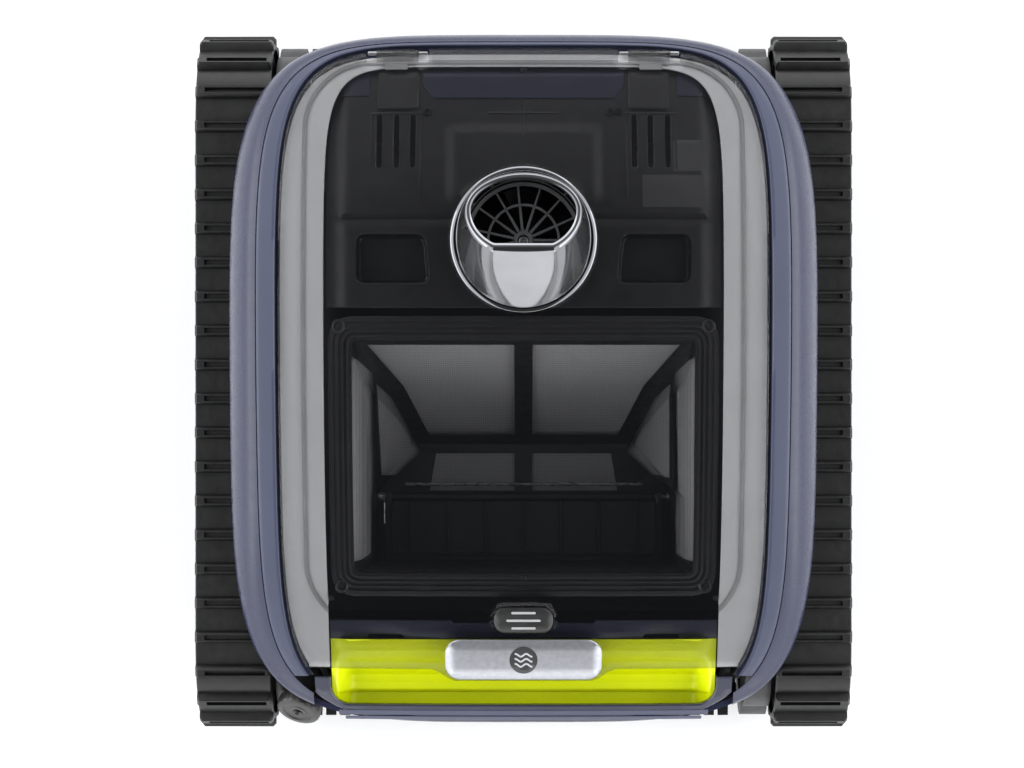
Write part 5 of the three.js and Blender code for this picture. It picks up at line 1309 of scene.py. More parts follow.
class CLEANER_OT_handle(PieceOperator, bpy.types.Operator):
    """Makes the handle, the grip behind it and the bar under the lid's front edge"""

    bl_idname = "cleaner.handle"
    bl_label = "Handle and grip"

    def make(self, size):
        # The handle takes the darker blue rather than the shell's: painted shade for the dark reflections on
        # its front.
        new_piece("front_handle", handle_shape(), "navy_deep_and_painted_shade", "chassis", ("carry_handle",))
        # Two thin strips along the handle's front, set a little proud, in the paler rail blue: painted
        # highlight lines on the dark bar.
        painted_highlight_strips = [slab(rounded(-reach, reach, y0, y1, 0.6, 3), raised(handle_top, 0.35),
                       raised(handle_top, -0.5), cell=5.0, edge=0.25)
                  for y0, y1, reach in ((-205.8, -202.6, 114.0), (-208.8, -206.5, 110.0))]
        new_piece("handle_strips", joined(*painted_highlight_strips), "rail", "chassis")
        new_piece("grip_scoop", scoop_shape(), "lime", "chassis", ("handle_scoop",))
        hole = button_outline(0.8)
        beam = slab(cross_bar_outline(), under_crown(5.9), under_crown(11.7), cell=6.0, edge=0.6)
        new_piece("latch_beam", beam, "navy_deep_and_painted_shade", "chassis", ("cross_bar",),
                  cuts=[loft([[(x, y, z) for x, y in hole] for z in (100, 240)])])


# -------------------------------------------------------------------------------- deck


def deck_outline():
    """The deck under the lid's edge, open in the middle and at the grip."""
    front, back, half = LID_FRONT + 0.6, -135.5, 119.0
    outer, inner = arc(DECK_OUTER, front), arc(DECK_INNER, back)[::-1]
    return [(outer[0][0], front), *outer, (outer[-1][0], front), (-half, front), (-half, back), *inner,
            (half, back), (half, front)]


def inward(x, y):
    """How far a point lies inside the lid's edge, measured across the cleaner."""
    a, b, n = LID
    return (1 - (abs(x / a) ** n + abs((y - CENTRE_Y) / b) ** n) ** (1 / n)) * a


def deck_top(x, y):
    """The deck's upper surface: it steps up a little inside the lid's edge."""
    beside_hinge = smoothed(14.0 - abs(abs(x) - 76.0), 0.0, 1.0) * smoothed(y, 192.5, 193.5)
    step = 0.6 * smoothed(inward(x, y), 5.2, 6.8)
    return crown(x, y) - DECK_DROP - 0.6 + step - 1.6 * beside_hinge


class CLEANER_OT_deck(PieceOperator, bpy.types.Operator):
    """Makes the deck and the lid's seal"""

    bl_idname = "cleaner.deck"
    bl_label = "Deck and seal"

    def make(self, size):
        sheet = slab(deck_outline(), deck_top, under_crown(DECK_DROP + 3.0), cell=4.0, edge=0.4)
        new_piece("edge_deck", sheet, "grey", "chassis", ("deck",), smooth=30)
        half, rear, front, corner = 131.5, 193.0, -150.0, 40.0
        loops = []
        for out, drop in ((-1.3, 4.7), (-1.1, 3.9), (-0.5, 3.5), (0.5, 3.5), (1.1, 3.9), (1.3, 4.7)):
            path = rounded(-half - out, half + out, front - out, rear + out, corner + out, 16)
            loops.append(on_dome(evenly(path, 420), drop))
        new_piece("lid_gasket", loft(loops, ring=True), "seal", "chassis", ("lid_seal",), 40,
                  [block(-119.0, 119.0, -260, -135.6, 0, 300)])


# -------------------------------------------------------------------------------- hood


HOOD_SLOTS = (66.4, 76.2, 86.6)  # middles of the slots on one side
DUCT_FOOT = 138.0


def hood_top(x, y):
    """The hood's upper surface: a raised plateau, round-cornered, behind its front rim."""
    side = abs(x)
    base = crown(x, y) - HOOD_DROP
    plateau = smoothed(min(111.0 - side, 96.0 - y) if y < 98 else 111.0 - side, 0.0, 3.0)
    centre = smoothed(45.0 - side, 0.0, 1.6) * smoothed(152.0 - y, 0.0, 1.6) * smoothed(y - 108.0, 0.0, 2.0)
    return base - 2.0 + 2.0 * plateau + 1.6 * centre


def hood_patch(outline, height, depth=0.6, cell=6.0, edge=0.2):
    """A low pad that stands on the hood and is sunk into it."""
    return slab(outline, raised(hood_top, height), raised(hood_top, -depth), cell=cell, edge=edge)


def hood_pocket(sign):
    """The outline of one pocket: its edge nearest the outlet slants."""
    outline = softened([(100.0, 58.5), (100.0, 88.0), (58.6, 88.0), (55.6, 58.5)], 6.0, 6)
    return outline if sign > 0 else mirrored(outline)


class CLEANER_OT_hood(PieceOperator, bpy.types.Operator):
    """Makes the hood under the lid, with its pockets, slots and trim"""

    bl_idname = "cleaner.hood"
    bl_label = "Hood"

    def make(self, size):
        outline = arc(DECK_INNER, HOOD_FRONT + 0.5, grow=-1.0)
        holes = [circle(DUCT_RADIUS, 96, (0.0, OUTLET_Y))]
        for sign in (1, -1):
            holes.append(hood_pocket(sign))
            for x in HOOD_SLOTS:
                holes.append(rounded(sign * x - 1.6, sign * x + 1.6, 128.0, 160.5, 1.4, 3))
        sheet = slab(outline, hood_top, under_crown(HOOD_DROP + 3), holes, cell=3.6, edge=0.5)
        cups = []
        floor = crown(100.0, 58.5) - HOOD_DROP - 13.0
        for sign in (1, -1):
            pocket = divided(hood_pocket(sign), 4.0)
            outer, sole = offset(pocket, 2.4), offset(pocket, -2.4)
            cups.append(loft([
                flat(sole, floor), flat(offset(pocket, -1.2), floor + 1.0),
                on_dome(offset(pocket, 0.02), HOOD_DROP + 1.4), on_dome(outer, HOOD_DROP + 2.4),
                flat(outer, floor - 2.0)]))
        bore, wall = (circle(DUCT_RADIUS + more, 96, (0.0, OUTLET_Y)) for more in (0.02, 3.0))
        duct_wall = [on_dome(bore, HOOD_DROP + 1.0), flat(bore, DUCT_FOOT), flat(wall, DUCT_FOOT),
                     on_dome(wall, HOOD_DROP + 1.0)]
        stays = [plate(side, 110.8, 150.0, edge=0.4, cell=60.0)
                 for side in both_sides(36.5, 41.5, OUTLET_Y - 3, OUTLET_Y + 3, 0.6, 2)]
        new_piece("pump_hood", joined(sheet, *cups, loft(duct_wall, ring=True), *stays), "hood", "chassis",
                  ("hood",), smooth=30)
        self.trim()
        seats = [((x, y, hood_top(x, y) + 0.1), (0, 0, 1)) for x, y in
                 ((-58.0, 162.0), (52.0, 162.0), (57.4, 162.0), (0.0, 188.4))]
        screws("hood_screws", seats, 5.2, "dark_steel")

    def trim(self):
        """Ridges, the slots' frames, the hinge blocks, the panels and the blank plates."""
        ribs = [hood_patch(rounded(-0.6, 0.6, 145.0, 168.5, 0.5, 2), 0.6),
                hood_patch(rounded(-21.0, 21.0, 161.0, 162.2, 0.5, 2), 0.6)]
        for x, y0, y1, half, height in ((62.0, 109.0, 153.0, 0.55, 0.9), (91.6, 126.0, 162.0, 0.5, 0.7),
                                        (61.6, 127.0, 161.0, 0.4, 0.6)):
            ribs += [hood_patch(side, height)
                     for side in both_sides(x - half, x + half, y0, y1, half * 0.9, 3)]
        ribs += [hood_patch(side, 0.7) for side in both_sides(61.0, 92.0, 160.9, 162.1, 0.5, 2)]
        new_piece("hood_ribs", joined(*ribs), "hood", "chassis")
        blocks = [hood_patch(side, 2.4, 0.8, 5.0, 0.8)
                  for side in both_sides(63.0, 88.0, 164.0, 187.5, 2.5, 4)]
        new_piece("hinge_blocks", joined(*blocks), "black", "chassis")
        tabs = [slab(side, under_crown(3.9), under_crown(7.0), cell=5.0, edge=0.3)
                for side in both_sides(70.0, 84.0, 188.4, 192.4, 0.8, 3)]
        new_piece("hinge_tabs", joined(*tabs), "seal", "chassis")
        corners = [(-54, 170.5), (54, 170.5), (61, 178), (61, 187.5), (-61, 187.5), (-61, 178)]
        panels = [hood_patch(softened(corners, 1.5, 3), 0.9, 0.6, 5.0, 0.4)]
        panels += [hood_patch(side, 0.7, 0.6, 5.0, 0.4)
                   for side in both_sides(92.5, 111.0, 172.0, 186.0, 1.6, 3)]
        new_piece("hood_panels", joined(*panels), "navy_deep_and_painted_shade", "chassis")
        plates = [hood_patch(rounded(x0, 107.0, y0, y1, 1.0, 3), 0.25, 0.4, 6.0, 0.1)
                  for x0, y0, y1 in ((89.8, 126.0, 145.0), (71.0, 104.0, 123.5))]
        new_piece("blank_plates", joined(*plates), "label", "chassis")


# -------------------------------------------------------------------------------- outlet


SPOUT_HALF = (34.2, 22.9)  # half width and half length of the spout's oval mouth
SPOUT_MOUTH_Y = 100.3
SPOUT_HEIGHTS = (238.0, 213.0)  # of the mouth's front and rear
SPOUT_FRONT_REACH = 27.0  # of the mouth's front half, before it is cut off straight
RING_POINTS = 120


def foot_ring(radius, rise):
    """A ring on the dome round the outlet."""
    return on_dome(circle(radius, RING_POINTS, (0.0, OUTLET_Y)), -rise)


def mouth_ring(shrink):
    """The spout's oval mouth, on a plane that leans to the rear, with a flatter front edge."""
    half_width, half_length = SPOUT_HALF
    front, rear = SPOUT_HEIGHTS
    points = []
    for i in range(RING_POINTS):
        t = TAU * i / RING_POINTS
        c, s = math.cos(t), math.sin(t)
        if s > 0:
            reach = (half_length - shrink) * s
        else:
            reach = max(-(half_length - shrink), (SPOUT_FRONT_REACH - shrink) * s)
        share = (reach + half_length) / (2 * half_length)
        points.append(((half_width - shrink) * c, SPOUT_MOUTH_Y + reach, front + (rear - front) * share))
    return points


def between_rings(first, second, share, bulge):
    """A ring part of the way from one to another, swollen by a share of its own size."""
    points = []
    for (x0, y0, z0), (x1, y1, z1) in zip(first, second):
        x, y = x0 + (x1 - x0) * share, y0 + (y1 - y0) * share
        points.append((x * (1 + bulge), OUTLET_Y + (y - OUTLET_Y) * (1 + bulge), z0 + (z1 - z0) * share))
    return points


def nozzle_shape():
    """The chrome spout: a stepped foot ring, a leaning wall and a thick polished lip."""
    foot, mouth = foot_ring(40.6, 1.6), mouth_ring(0.0)
    inner_foot, inner_mouth = foot_ring(35.8, -0.5), mouth_ring(3.2)
    lifted = [(x, y, z + 0.5) for x, y, z in mouth_ring(0.9)]
    rounded_in = [(x, y, z + 0.45) for x, y, z in mouth_ring(2.2)]
    loops = [
        foot_ring(OUTLET_RADIUS, -2.6), foot_ring(OUTLET_RADIUS, 0.6), foot_ring(43.2, 1.3),
        foot_ring(41.6, 1.5), foot_ring(41.2, 1.0), foot,
    ]
    for share in (0.06, 0.2, 0.4, 0.6, 0.8, 0.93):
        loops.append(between_rings(foot, mouth, share, 0.08 * share * (1 - share)))
    loops += [mouth, lifted, rounded_in, inner_mouth]
    for share in (0.1, 0.3, 0.5, 0.7, 0.9):
        loops.append(between_rings(inner_mouth, inner_foot, share, 0.06 * share * (1 - share)))
    loops += [inner_foot, foot_ring(35.6, -5.8), foot_ring(38.9, -5.8), foot_ring(38.9, -2.6)]
    return loft(loops, ring=True)


def guard_tree():
    """Ribs placed evenly round a hub, joined to the hub and rim."""
    tree, inputs = geometry_tree("guard ribs", {
        "Frame": ("NodeSocketObject", None), "Rib": ("NodeSocketObject", None), "Ribs": ("NodeSocketInt", 15),
        "Plastic": ("NodeSocketMaterial", None)})
    hub, rib = given(tree, inputs, "Frame", "Rib")
    at_once = {"Count": inputs.outputs["Ribs"], "Offset": (0.0, 0.0, 0.0)}
    points = add_node(tree, "GeometryNodeMeshLine", at_once).outputs[0]
    index = add_node(tree, "GeometryNodeInputIndex").outputs[0]
    split = {0: index, 1: inputs.outputs["Ribs"]}
    share = add_node(tree, "ShaderNodeMath", split, operation="DIVIDE").outputs[0]
    angle = add_node(tree, "ShaderNodeMath", {0: share, 1: TAU}, operation="MULTIPLY").outputs[0]
    turn = add_node(tree, "ShaderNodeCombineXYZ", {"Z": angle}).outputs[0]
    ribs = placed_on(tree, points, rib, turn)
    return ended(tree, together(tree, hub, ribs), inputs.outputs["Plastic"])


class CLEANER_OT_outlet(PieceOperator, bpy.types.Operator):
    """Makes the spout, the guard under it and the propeller"""

    bl_idname = "cleaner.outlet"
    bl_label = "Outlet"

    def make(self, size):
        new_piece("chrome_spout", nozzle_shape(), "chrome", "lid", ("outlet_nozzle",),
                  smooth=45)
        self.guard(size)
        self.propeller(size)

    def guard(self, size):
        """The ribbed guard in the outlet."""
        low, high = span("outlet_guard")
        z, outer = low[2], high[0]
        turns = [TAU * (k + 0.5) / 6 for k in range(6)]
        hexagon = [(6.6 * math.cos(t), 6.6 * math.sin(t)) for t in turns]
        hub = plate(softened(hexagon, 0.8, 3), z - 0.4, z + 4.2, [circle(3.2, 20)], cell=20, edge=0.4)
        rims = [shifted(tube(outer - 2.4, outer, 0.0, 4.0, 96), z=z),
                shifted(tube(20.4, 22.0, 0.8, 3.6, 72), z=z)]
        frame_object = helper_object("guard frame", joined(hub, *rims))
        rib = [(5.8, -0.9), (outer - 1.2, -0.62), (outer - 1.2, 0.62), (5.8, 0.9)]
        rib_object = helper_object("guard rib", plate(rib, z + 0.5, z + 3.6, cell=40, edge=0.3))
        guard = from_tree("spout_guard", guard_tree(), {
            "Frame": frame_object, "Rib": rib_object, "Ribs": size.guard_ribs, "Plastic": MATERIALS["guard"]})
        discard(frame_object, rib_object)
        guard.data.transform(Matrix.Translation((0, 0.001 * OUTLET_Y, 0)))
        dressed(guard, "guard", "chassis", ("outlet_guard",))

    def propeller(self, size):
        """The pump's propeller: a hub and swept, twisted blades."""
        low, high = span("propeller")
        bottom, top, root, tip, stations = low[2], high[2], 7.4, 32.6, 10
        section = ((-1, 0.3), (-0.5, 1), (0, 1.2), (0.5, 1), (1, 0.3), (1, -0.3), (0, -0.9), (-1, -0.3))
        blades = []
        for k in range(size.propeller_blades):
            loops = []
            for i in range(stations):
                share = i / (stations - 1)
                r = root + (tip - root) * share
                sweep, thick = 0.62 + 0.1 * share, 0.72 * (1 - 0.4 * share)
                loop = []
                for along, up in section:
                    turn = TAU * k / size.propeller_blades + along * sweep / 1.9
                    height = (bottom + top) / 2 + along * 5.6 * (1 - 0.25 * share) + up * thick
                    loop.append((r * math.cos(turn), OUTLET_Y + r * math.sin(turn), height))
                loops.append(loop)
            blades.append(loft(loops))
        hub = shifted(lathe([(3.3, bottom + 0.2), (7.4, bottom + 0.2), (8.0, bottom + 0.8), (8.0, top - 4),
                             (6.8, top - 1.4), (4.6, top - 0.2), (3.3, top - 0.2)], 48), y=OUTLET_Y)
        new_piece("pump_propeller", joined(hub, *blades), "black", "propeller",
                  ("propeller",))


# -------------------------------------------------------------------------------- filter


class CLEANER_OT_filter(PieceOperator, bpy.types.Operator):
    """Makes the filter basket, its cloth, the inlet flap and the flap's spring"""

    bl_idname = "cleaner.filter"
    bl_label = "Filter"

    def make(self, size):
        self.basket()
        self.flap(size)
        brace_y, brace_z, half = -65.0, 70.5, 74.0
        brace = joined(shifted(moved(rod(1.1, -half, half, 20), ALONG_X), 0, brace_y, brace_z),
                       *(shifted(rod(1.1, brace_z - 12, brace_z, 16), x, brace_y) for x in (-half, half)))
        new_piece("basket_brace", brace, "steel", "chassis")

    def basket(self):
        """The basket with the ridges and bosses of its rim, and the cloth."""
        rim = 10.0  # how far the rim lies under the dome
        grooves = []
        for out, height, half in ((2.2, 1.0, 0.7), (5.2, 0.8, 0.6), (8.2, 0.8, 0.6), (11.6, 1.0, 0.8)):
            loops = []
            for dx, rise in ((-half, 0.6), (-half * 0.5, -height), (half * 0.5, -height), (half, 0.6)):
                more = out + dx
                path = rounded(-103 - more, 103 + more, -116.6 - more, 25 + more, 4 + out * 0.7, 10)
                loops.append(on_dome(evenly(path, 300), rim - rise))
            grooves.append(loft(loops, ring=True))
        boss = lathe([(2.6, -0.4), (4.2, -0.4), (4.2, 1.2), (3.6, 1.6), (2.6, 1.2)], 24)
        corners = [shifted(boss, x, y, crown(110, y) - rim) for x in (-110.5, 110.5) for y in (-124.5, 33.0)]
        refined("basket", "filter_basket", "black", bevel=0.7,
                more=joined(*grooves, *corners))
        refined("filter_cloth", "filter_mesh", "cloth", bevel=0.2)

    def flap(self, size):
        """The inlet flap with its pin and its torsion spring."""
        low, high = span("inlet_flap")
        _, y, z = middle("flap_pin")
        half = high[0]
        sheet = plate(rounded(-half, half, low[1], y, 1.6, 4), z - 2.9, z - 0.5, cell=20, edge=0.5)
        barrel = shifted(moved(tube(1.6, 2.9, -half, half, 32), ALONG_X), 0, y, z)
        lip = bar(-half + 2, half - 2, low[1] + 1.0, low[1] + 2.4, z - 1.0, z + 0.8)
        ribs = [bar(x - 0.9, x + 0.9, low[1] + 2, y - 1, z - 1.2, z + 1.9, 0.8)
                for x in np.linspace(-half + 12, half - 12, size.flap_ribs)]
        new_piece("suction_flap", joined(sheet, barrel, lip, *ribs), "hood", "inlet_flap",
                  ("inlet_flap",))
        start, end = (corner[0] for corner in span("flap_spring"))
        turns, sides, radius, wire = 5, 16, 2.4, 0.42
        coil = [(start + 0.5 + (end - start - 1.0) * i / (turns * sides),
                 y + radius * math.cos(TAU * i / sides), z + radius * math.sin(TAU * i / sides))
                for i in range(turns * sides + 1)]
        leg = [(end - 0.6, y - 2.0, z + 2.6), (end - 0.6, y - 10.0, z + 2.4), (end - 0.6, y - 17.0, z + 1.6)]
        spring = joined(pipe(coil, wire, 8), pipe(leg, wire, 8))
        new_piece("torsion_spring", spring, "steel", "chassis", ("flap_spring",))
        reach = span("flap_pin")[1][0]
        head = moved(rod(2.4, -0.8, 0.8, 24, 0.3), ALONG_X)
        pin = joined(shifted(moved(rod(1.45, -reach, reach, 24), ALONG_X), 0, y, z),
                     *(shifted(head, sign * (reach - 0.9), y, z) for sign in (-1, 1)))
        new_piece("flap_hinge_pin", pin, "steel", "chassis", ("flap_pin",))


# -------------------------------------------------------------------------------- lid


BUTTON_HALF = 18.0
BUTTON_FRONT = -153.0
BUTTON_REAR = -137.0
BUTTON_PROUD = 1.6  # how far it stands over the lid


def button_outline(gap):
    """The latch button's outline, or an opening for it with a gap all round."""
    return rounded(-BUTTON_HALF - gap, BUTTON_HALF + gap, BUTTON_FRONT - gap, BUTTON_REAR + gap, 7.0 + gap, 8)


def lid_outline():
    """The lid's edge: the body outline with a straight front that steps forward round the latch."""
    half, reach = 56.0, 7.5  # the step's half width, and how far it comes forward
    tongue = [(x, LID_FRONT - reach * smoothed(half - abs(x), 0, 14)) for x in np.linspace(-half, half, 25)]
    return [(-110.0, LID_FRONT), *tongue, (110.0, LID_FRONT), *arc(LID, LID_FRONT, grow=-0.1)]


class CLEANER_OT_lid(PieceOperator, bpy.types.Operator):
    """Makes the clear lid, its button, its latch plate and its hinge pins"""

    bl_idname = "cleaner.lid"
    bl_label = "Lid and latch"

    def make(self, size):
        holes = [circle(OUTLET_RADIUS + 0.35, 120, (0.0, OUTLET_Y)), button_outline(0.4)]
        cheeks = [(x - 3.1, x + 3.1) for x in (91.7, 60.3, -60.3, -91.7)]
        outline = notched(lid_outline(), cheeks, 192.6)
        sheet = slab(outline, crown, under_crown(LID_THICKNESS), holes, cell=5.0, edge=0.6)
        sides, barrels, pins = ("left", "right"), [], []
        for side in sides:
            x0, x1 = (corner[0] for corner in span(side + "_hinge_pin"))
            y, z = middle(side + "_hinge_pin")[1:]
            barrels.append(shifted(moved(tube(1.35, 2.2, x0 + 5.2, x1 - 5.2, 32, 0.2), ALONG_X), 0, y, z))
            pins.append(shifted(moved(rod(1.2, x0, x1, 24, 0.25), ALONG_X), 0, y, z))
        new_piece("clear_lid", joined(sheet, *barrels), "smoke", "lid", ("lid",), smooth=40)
        self.latch_plate()
        self.button()
        seats = [((x, y, crown(x, y) - 3.2), (0, 0, 1)) for x, y in
                 ((0.0, 187.5), (-116.5, -131.5), (116.5, -131.5), (0.0, -118.5))]
        screws("lid_screws", seats, 3.4, "dark_steel", "lid")
        for side, pin in zip(sides, pins):
            new_piece(side + "_lid_pin", pin, "steel", "chassis", (side + "_hinge_pin",))

    def latch_plate(self):
        """The silver plate in front of the lid, with its badge of waves."""
        low, high = span("latch_plate")
        half, front, rear = high[0], low[1], high[1]
        foot = 0.8  # the gap over the domed surface

        def top(x, y):
            """The plate's upper surface, pillowed towards its middle."""
            edge = min(half - abs(x), y - front, rear - y)
            return crown(x, y) + foot + 2.2 + 1.4 * smoothed(edge, 0.0, 5.0)

        body = slab(rounded(-half, half, front, rear, 9, 12), top, raised(crown, foot), cell=3.0, edge=0.7)
        new_piece("silver_plate", body, "silver", "latch_plate", ("latch_plate",))
        centre = (front + rear) / 2
        disc = slab(circle(8.6, 48, (0.0, centre)), raised(top, 0.25), raised(top, -0.4), cell=3.0, edge=0.2)
        new_piece("badge_disc", disc, "badge", "latch_plate")
        waves = []
        for row in (-3.2, 0.0, 3.2):
            upper = [(x, centre + row + 0.62 + 0.9 * math.sin(x * 0.95)) for x in np.linspace(-5.4, 5.4, 26)]
            outline = [*[(x, y - 1.24) for x, y in upper], *upper[::-1]]
            waves.append(slab(outline, raised(top, 0.45), top, cell=3.0, edge=0.12))
        new_piece("badge_waves", joined(*waves), "silver", "latch_plate")

    def button(self):
        """The latch's button, with three raised bars."""

        def top(x, y):
            """The button's upper surface, rolled off at its edge."""
            edge = min(BUTTON_HALF - abs(x), y - BUTTON_FRONT, BUTTON_REAR - y)
            return crown(x, y) + BUTTON_PROUD - 0.7 * (1 - smoothed(edge, 0.0, 3.0))

        middle_y = (BUTTON_FRONT + BUTTON_REAR) / 2
        foot = crown(0, middle_y) - 5.2
        cap = slab(button_outline(0.0), top, lambda x, y: foot, cell=3.0, edge=0.5)
        new_piece("latch_cap", cap, "hood", "latch_button", ("latch_button",))
        bars = [slab(rounded(-reach, reach, middle_y + dy - 0.75, middle_y + dy + 0.75, 0.7, 4),
                     raised(top, 0.35), raised(top, -0.3), cell=4.0, edge=0.15)
                for dy, reach in ((-4.8, 7.4), (0.0, 10.4), (4.8, 7.4))]
        new_piece("cap_bars", joined(*bars), "seal", "latch_button")


# -------------------------------------------------------------------------------- cable gland


def gland_place():
    """The matrix that stands a shape along Z on the gland's face, along the gland."""
    axis = Vector((-0.25, -0.79, 0.56)).normalized()
    face = Vector(middle("gland_nut")) + axis * 4.0  # half the nut's length
    return Matrix.Translation(face) @ axis.to_track_quat("Z", "Y").to_matrix().to_4x4()


class CLEANER_OT_gland(PieceOperator, bpy.types.Operator):
    """Makes the cable gland at the left front corner"""

    bl_idname = "cleaner.gland"
    bl_label = "Cable gland"

    def make(self, size):
        place = gland_place()
        body = lathe([(2.2, -33.6), (12.0, -33.6), (12.4, -33.2), (12.4, -8.6), (2.2, -8.6)], 64)
        new_piece("gland_body", moved(body, place), "black", "chassis", ("cable_gland",))
        count = 96
        loops = []
        for i in range(count):
            t = TAU * i / count
            grip = 13.95 - (0.28 if (i // 3) % 2 else 0.0)  # a fluted side, three points to a flute
            section = [(2.1, -8.0), (13.6, -8.0), (grip, -7.6), (grip, -2.0), (13.3, -0.9), (12.2, -0.25),
                       (9.6, -0.2), (9.0, -0.9), (6.4, -0.9), (5.4, -0.3), (3.6, -0.4), (2.4, -1.6),
                       (2.1, -2.6)]
            loops.append([(r * math.cos(t), r * math.sin(t), h) for r, h in section])
        new_piece("gland_cap", moved(loft(loops, ring=True), place), "gland", "chassis",
                  ("gland_nut",), smooth=30)


# -------------------------------------------------------------------------------- inner parts


class CLEANER_OT_drive(PieceOperator, bpy.types.Operator):
    """Makes the motor unit, and gives the carried-over shafts, gears and motors their finishes"""

    bl_idname = "cleaner.drive"
    bl_label = "Motors and gears"

    def make(self, size):
        low, high = span("motor_case")
        ribs = [bar(x - 0.8, x + 0.8, low[1] - 0.8, low[1] + 0.4, low[2] + 8, high[2] - 8)
                for x in range(-75, 76, 25)]
        refined("motor_housing", "motor_case", "black", bevel=0.9,
                more=joined(*ribs))
        refined("motor_housing_cover", "motor_case_cover", "black", bevel=0.8)
        seat = span("motor_case_cover")[0][2] + 6.0
        seats = [((x, y, seat), (0, 0, 1)) for x in (-84, 84) for y in (17, 62, 108)]
        screws("housing_screws", seats, mm(size.screw_head), "steel")
        for node, material, slot in (
            ("pump_motor", "motor", "steel"), ("left_drive_motor", "motor", "steel"),
            ("right_drive_motor", "motor", "steel"), ("control_board", "board", "circuit_board"),
        ):
            refined(node + "_part", node, material, bevel=0.4)
        refined("pump_drive_shaft", "pump_shaft", "steel", "propeller", 0.3)
        for corner in ("left_front", "left_rear", "right_front", "right_rear"):
            refined(corner + "_wheel_axle", corner + "_axle", "steel", bevel=0.4)
        for corner in ("left_front", "left_rear", "right_rear"):
            refined(corner + "_gear", corner + "_wheel_gear", "acetal", corner + "_wheel",
                    0.25)
        for end in ("front", "rear"):
            refined(end + "_brush_axle", end + "_brush_shaft", "steel", end + "_brush", 0.4)
            refined(end + "_brush_pinion", end + "_brush_gear", "acetal", end + "_brush", 0.25)
        for side in ("left", "right"):
            refined(side + "_pinion", side + "_motor_pinion", "acetal", side + "_motor_pinion",
                    0.25)


# -------------------------------------------------------------------------------- studio


def soft_light(name, place, target, width, height, watts):
    """A soft box that looks from a place to a target, in metres."""
    data = bpy.data.lights.new(name, "AREA")
    data.shape, data.size, data.size_y, data.energy = "RECTANGLE", width, height, watts
    light = linked(name, data)
    light.location = place
    light.rotation_euler = (Vector(target) - Vector(place)).to_track_quat("-Z", "Y").to_euler()
    return light


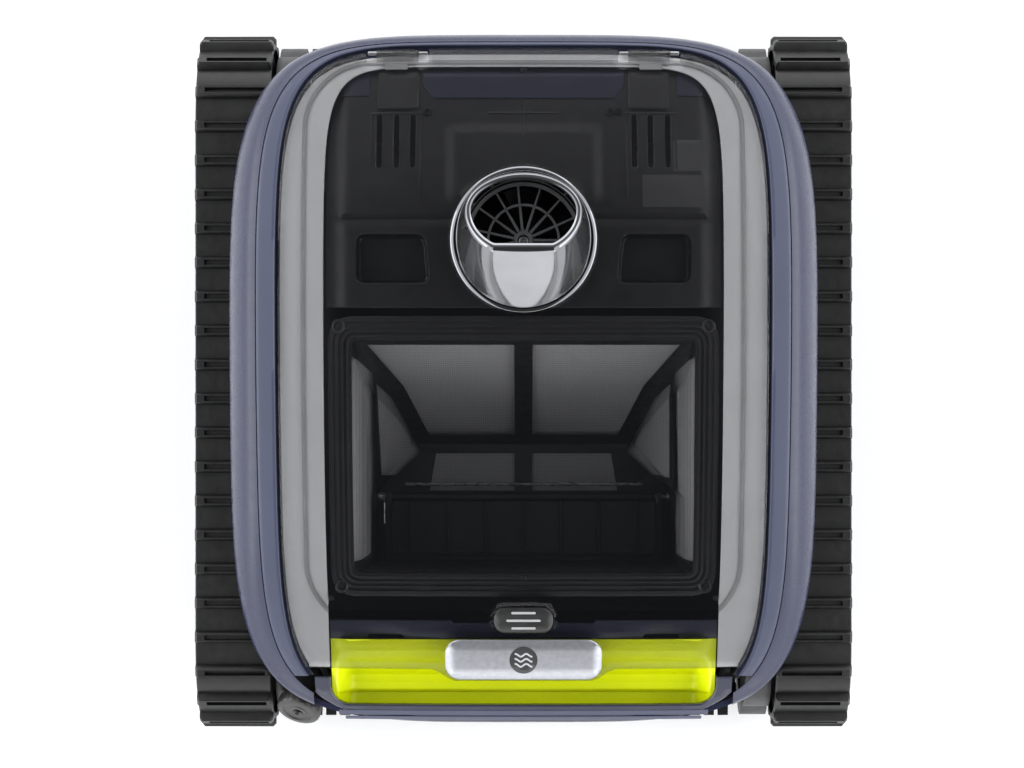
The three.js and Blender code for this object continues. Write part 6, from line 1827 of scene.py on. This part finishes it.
class CLEANER_OT_studio(PieceOperator, bpy.types.Operator):
    """Makes the pale floor, the soft lights and the camera"""

    bl_idname = "cleaner.studio"
    bl_label = "Studio"

    def make(self, size):
        floor = bpy.data.meshes.new("studio_floor")
        floor.from_pydata([(-6, -6, 0), (6, -6, 0), (6, 6, 0), (-6, 6, 0)], [], [(0, 1, 2, 3)])
        # Almost white and quite dull, so that it shows only a soft shadow.
        matt = {"Roughness": 0.9, "Base Color": linear("#f4f4f4")}
        floor.materials.append(new_material("pale_studio_floor", **matt)[0])
        linked("studio_floor", floor)
        world = bpy.data.worlds.new("studio")
        world.use_nodes = True
        tree = world.node_tree
        direction = add_node(tree, "ShaderNodeTexCoord").outputs["Generated"]
        parts = add_node(tree, "ShaderNodeSeparateXYZ", {0: direction}).outputs
        across = add_node(tree, "ShaderNodeMath", {0: parts["X"]}, operation="ABSOLUTE").outputs[0]
        glow = 0.14  # straight above; then tall walls of light at both sides, a dim rear and a low horizon
        for value, start, end, amount in ((across, 0.26, 0.42, 1.9), (parts["Y"], 0.3, 0.6, 0.25),
                                          (parts["Z"], 0.5, 0.2, 0.6)):
            wall = add_node(tree, "ShaderNodeMapRange", {
                "Value": value, "From Min": start, "From Max": end, "To Min": 0.0, "To Max": amount},
                interpolation_type="SMOOTHSTEP")
            glow = add_node(tree, "ShaderNodeMath", {0: wall.outputs[0], 1: glow}, operation="ADD").outputs[0]
        tree.links.new(glow, tree.nodes["Background"].inputs[1])
        tree.nodes["Background"].inputs[0].default_value = (0.97, 0.98, 1.0, 1.0)
        bpy.context.scene.world = world
        bpy.context.scene.view_settings.view_transform = "Standard"
        for name, place, width, height, watts in (
            ("left_bank", (-1.5, 0.0, 0.9), 2.4, 0.9, 18), ("right_bank", (1.5, 0.0, 0.9), 2.4, 0.9, 18),
            ("front_bank", (0.0, -1.7, 0.5), 1.8, 0.6, 7), ("rear_bank", (0.0, 1.7, 0.5), 1.8, 0.6, 9),
        ):
            soft_light(name, place, (0.0, 0.0, 0.12), width, height, watts)
        data = bpy.data.cameras.new("studio_camera")
        data.lens, data.sensor_width = 114.9, 36.0
        data.shift_x, data.shift_y = -0.01123, -0.00244
        camera = linked("studio_camera", data)
        camera.location = (0.0, 0.0, 2.14)
        bpy.context.scene.camera = camera


# -------------------------------------------------------------------------------- add-on


PIECES = (
    CLEANER_OT_tracks, CLEANER_OT_wheels, CLEANER_OT_brushes, CLEANER_OT_hull, CLEANER_OT_covers,
    CLEANER_OT_shell, CLEANER_OT_handle, CLEANER_OT_deck, CLEANER_OT_hood, CLEANER_OT_outlet,
    CLEANER_OT_filter, CLEANER_OT_lid, CLEANER_OT_gland, CLEANER_OT_drive, CLEANER_OT_studio,
)


class CLEANER_PT_panel(bpy.types.Panel):
    """Lists the cleaner's sizes, colours and pieces"""

    bl_idname = "CLEANER_PT_panel"
    bl_label = "Pool Robot"
    bl_space_type = "VIEW_3D"
    bl_region_type = "UI"
    bl_category = "Pool Robot"

    def draw(self, context):
        for settings in (context.scene.cleaner_sizes, context.scene.cleaner_colours):
            box = self.layout.box()
            for name in settings.__annotations__:
                box.prop(settings, name)
        column = self.layout.column()
        for piece in PIECES:
            column.operator(piece.bl_idname)


CLASSES = (CleanerSizes, CleanerColours, *PIECES, CLEANER_PT_panel)


def register():
    """Adds the classes and the scene's settings."""
    for cls in CLASSES:
        bpy.utils.register_class(cls)
    bpy.types.Scene.cleaner_sizes = PointerProperty(type=CleanerSizes)
    bpy.types.Scene.cleaner_colours = PointerProperty(type=CleanerColours)


def unregister():
    """Takes the settings and the classes away."""
    del bpy.types.Scene.cleaner_colours
    del bpy.types.Scene.cleaner_sizes
    for cls in reversed(CLASSES):
        bpy.utils.unregister_class(cls)


def main():
    """Builds the whole scene."""
    register()
    make_materials(bpy.context.scene.cleaner_colours)
    for piece in PIECES:
        group, name = piece.bl_idname.split(".")
        getattr(getattr(bpy.ops, group), name)()


if __name__ == "__main__":
    main()
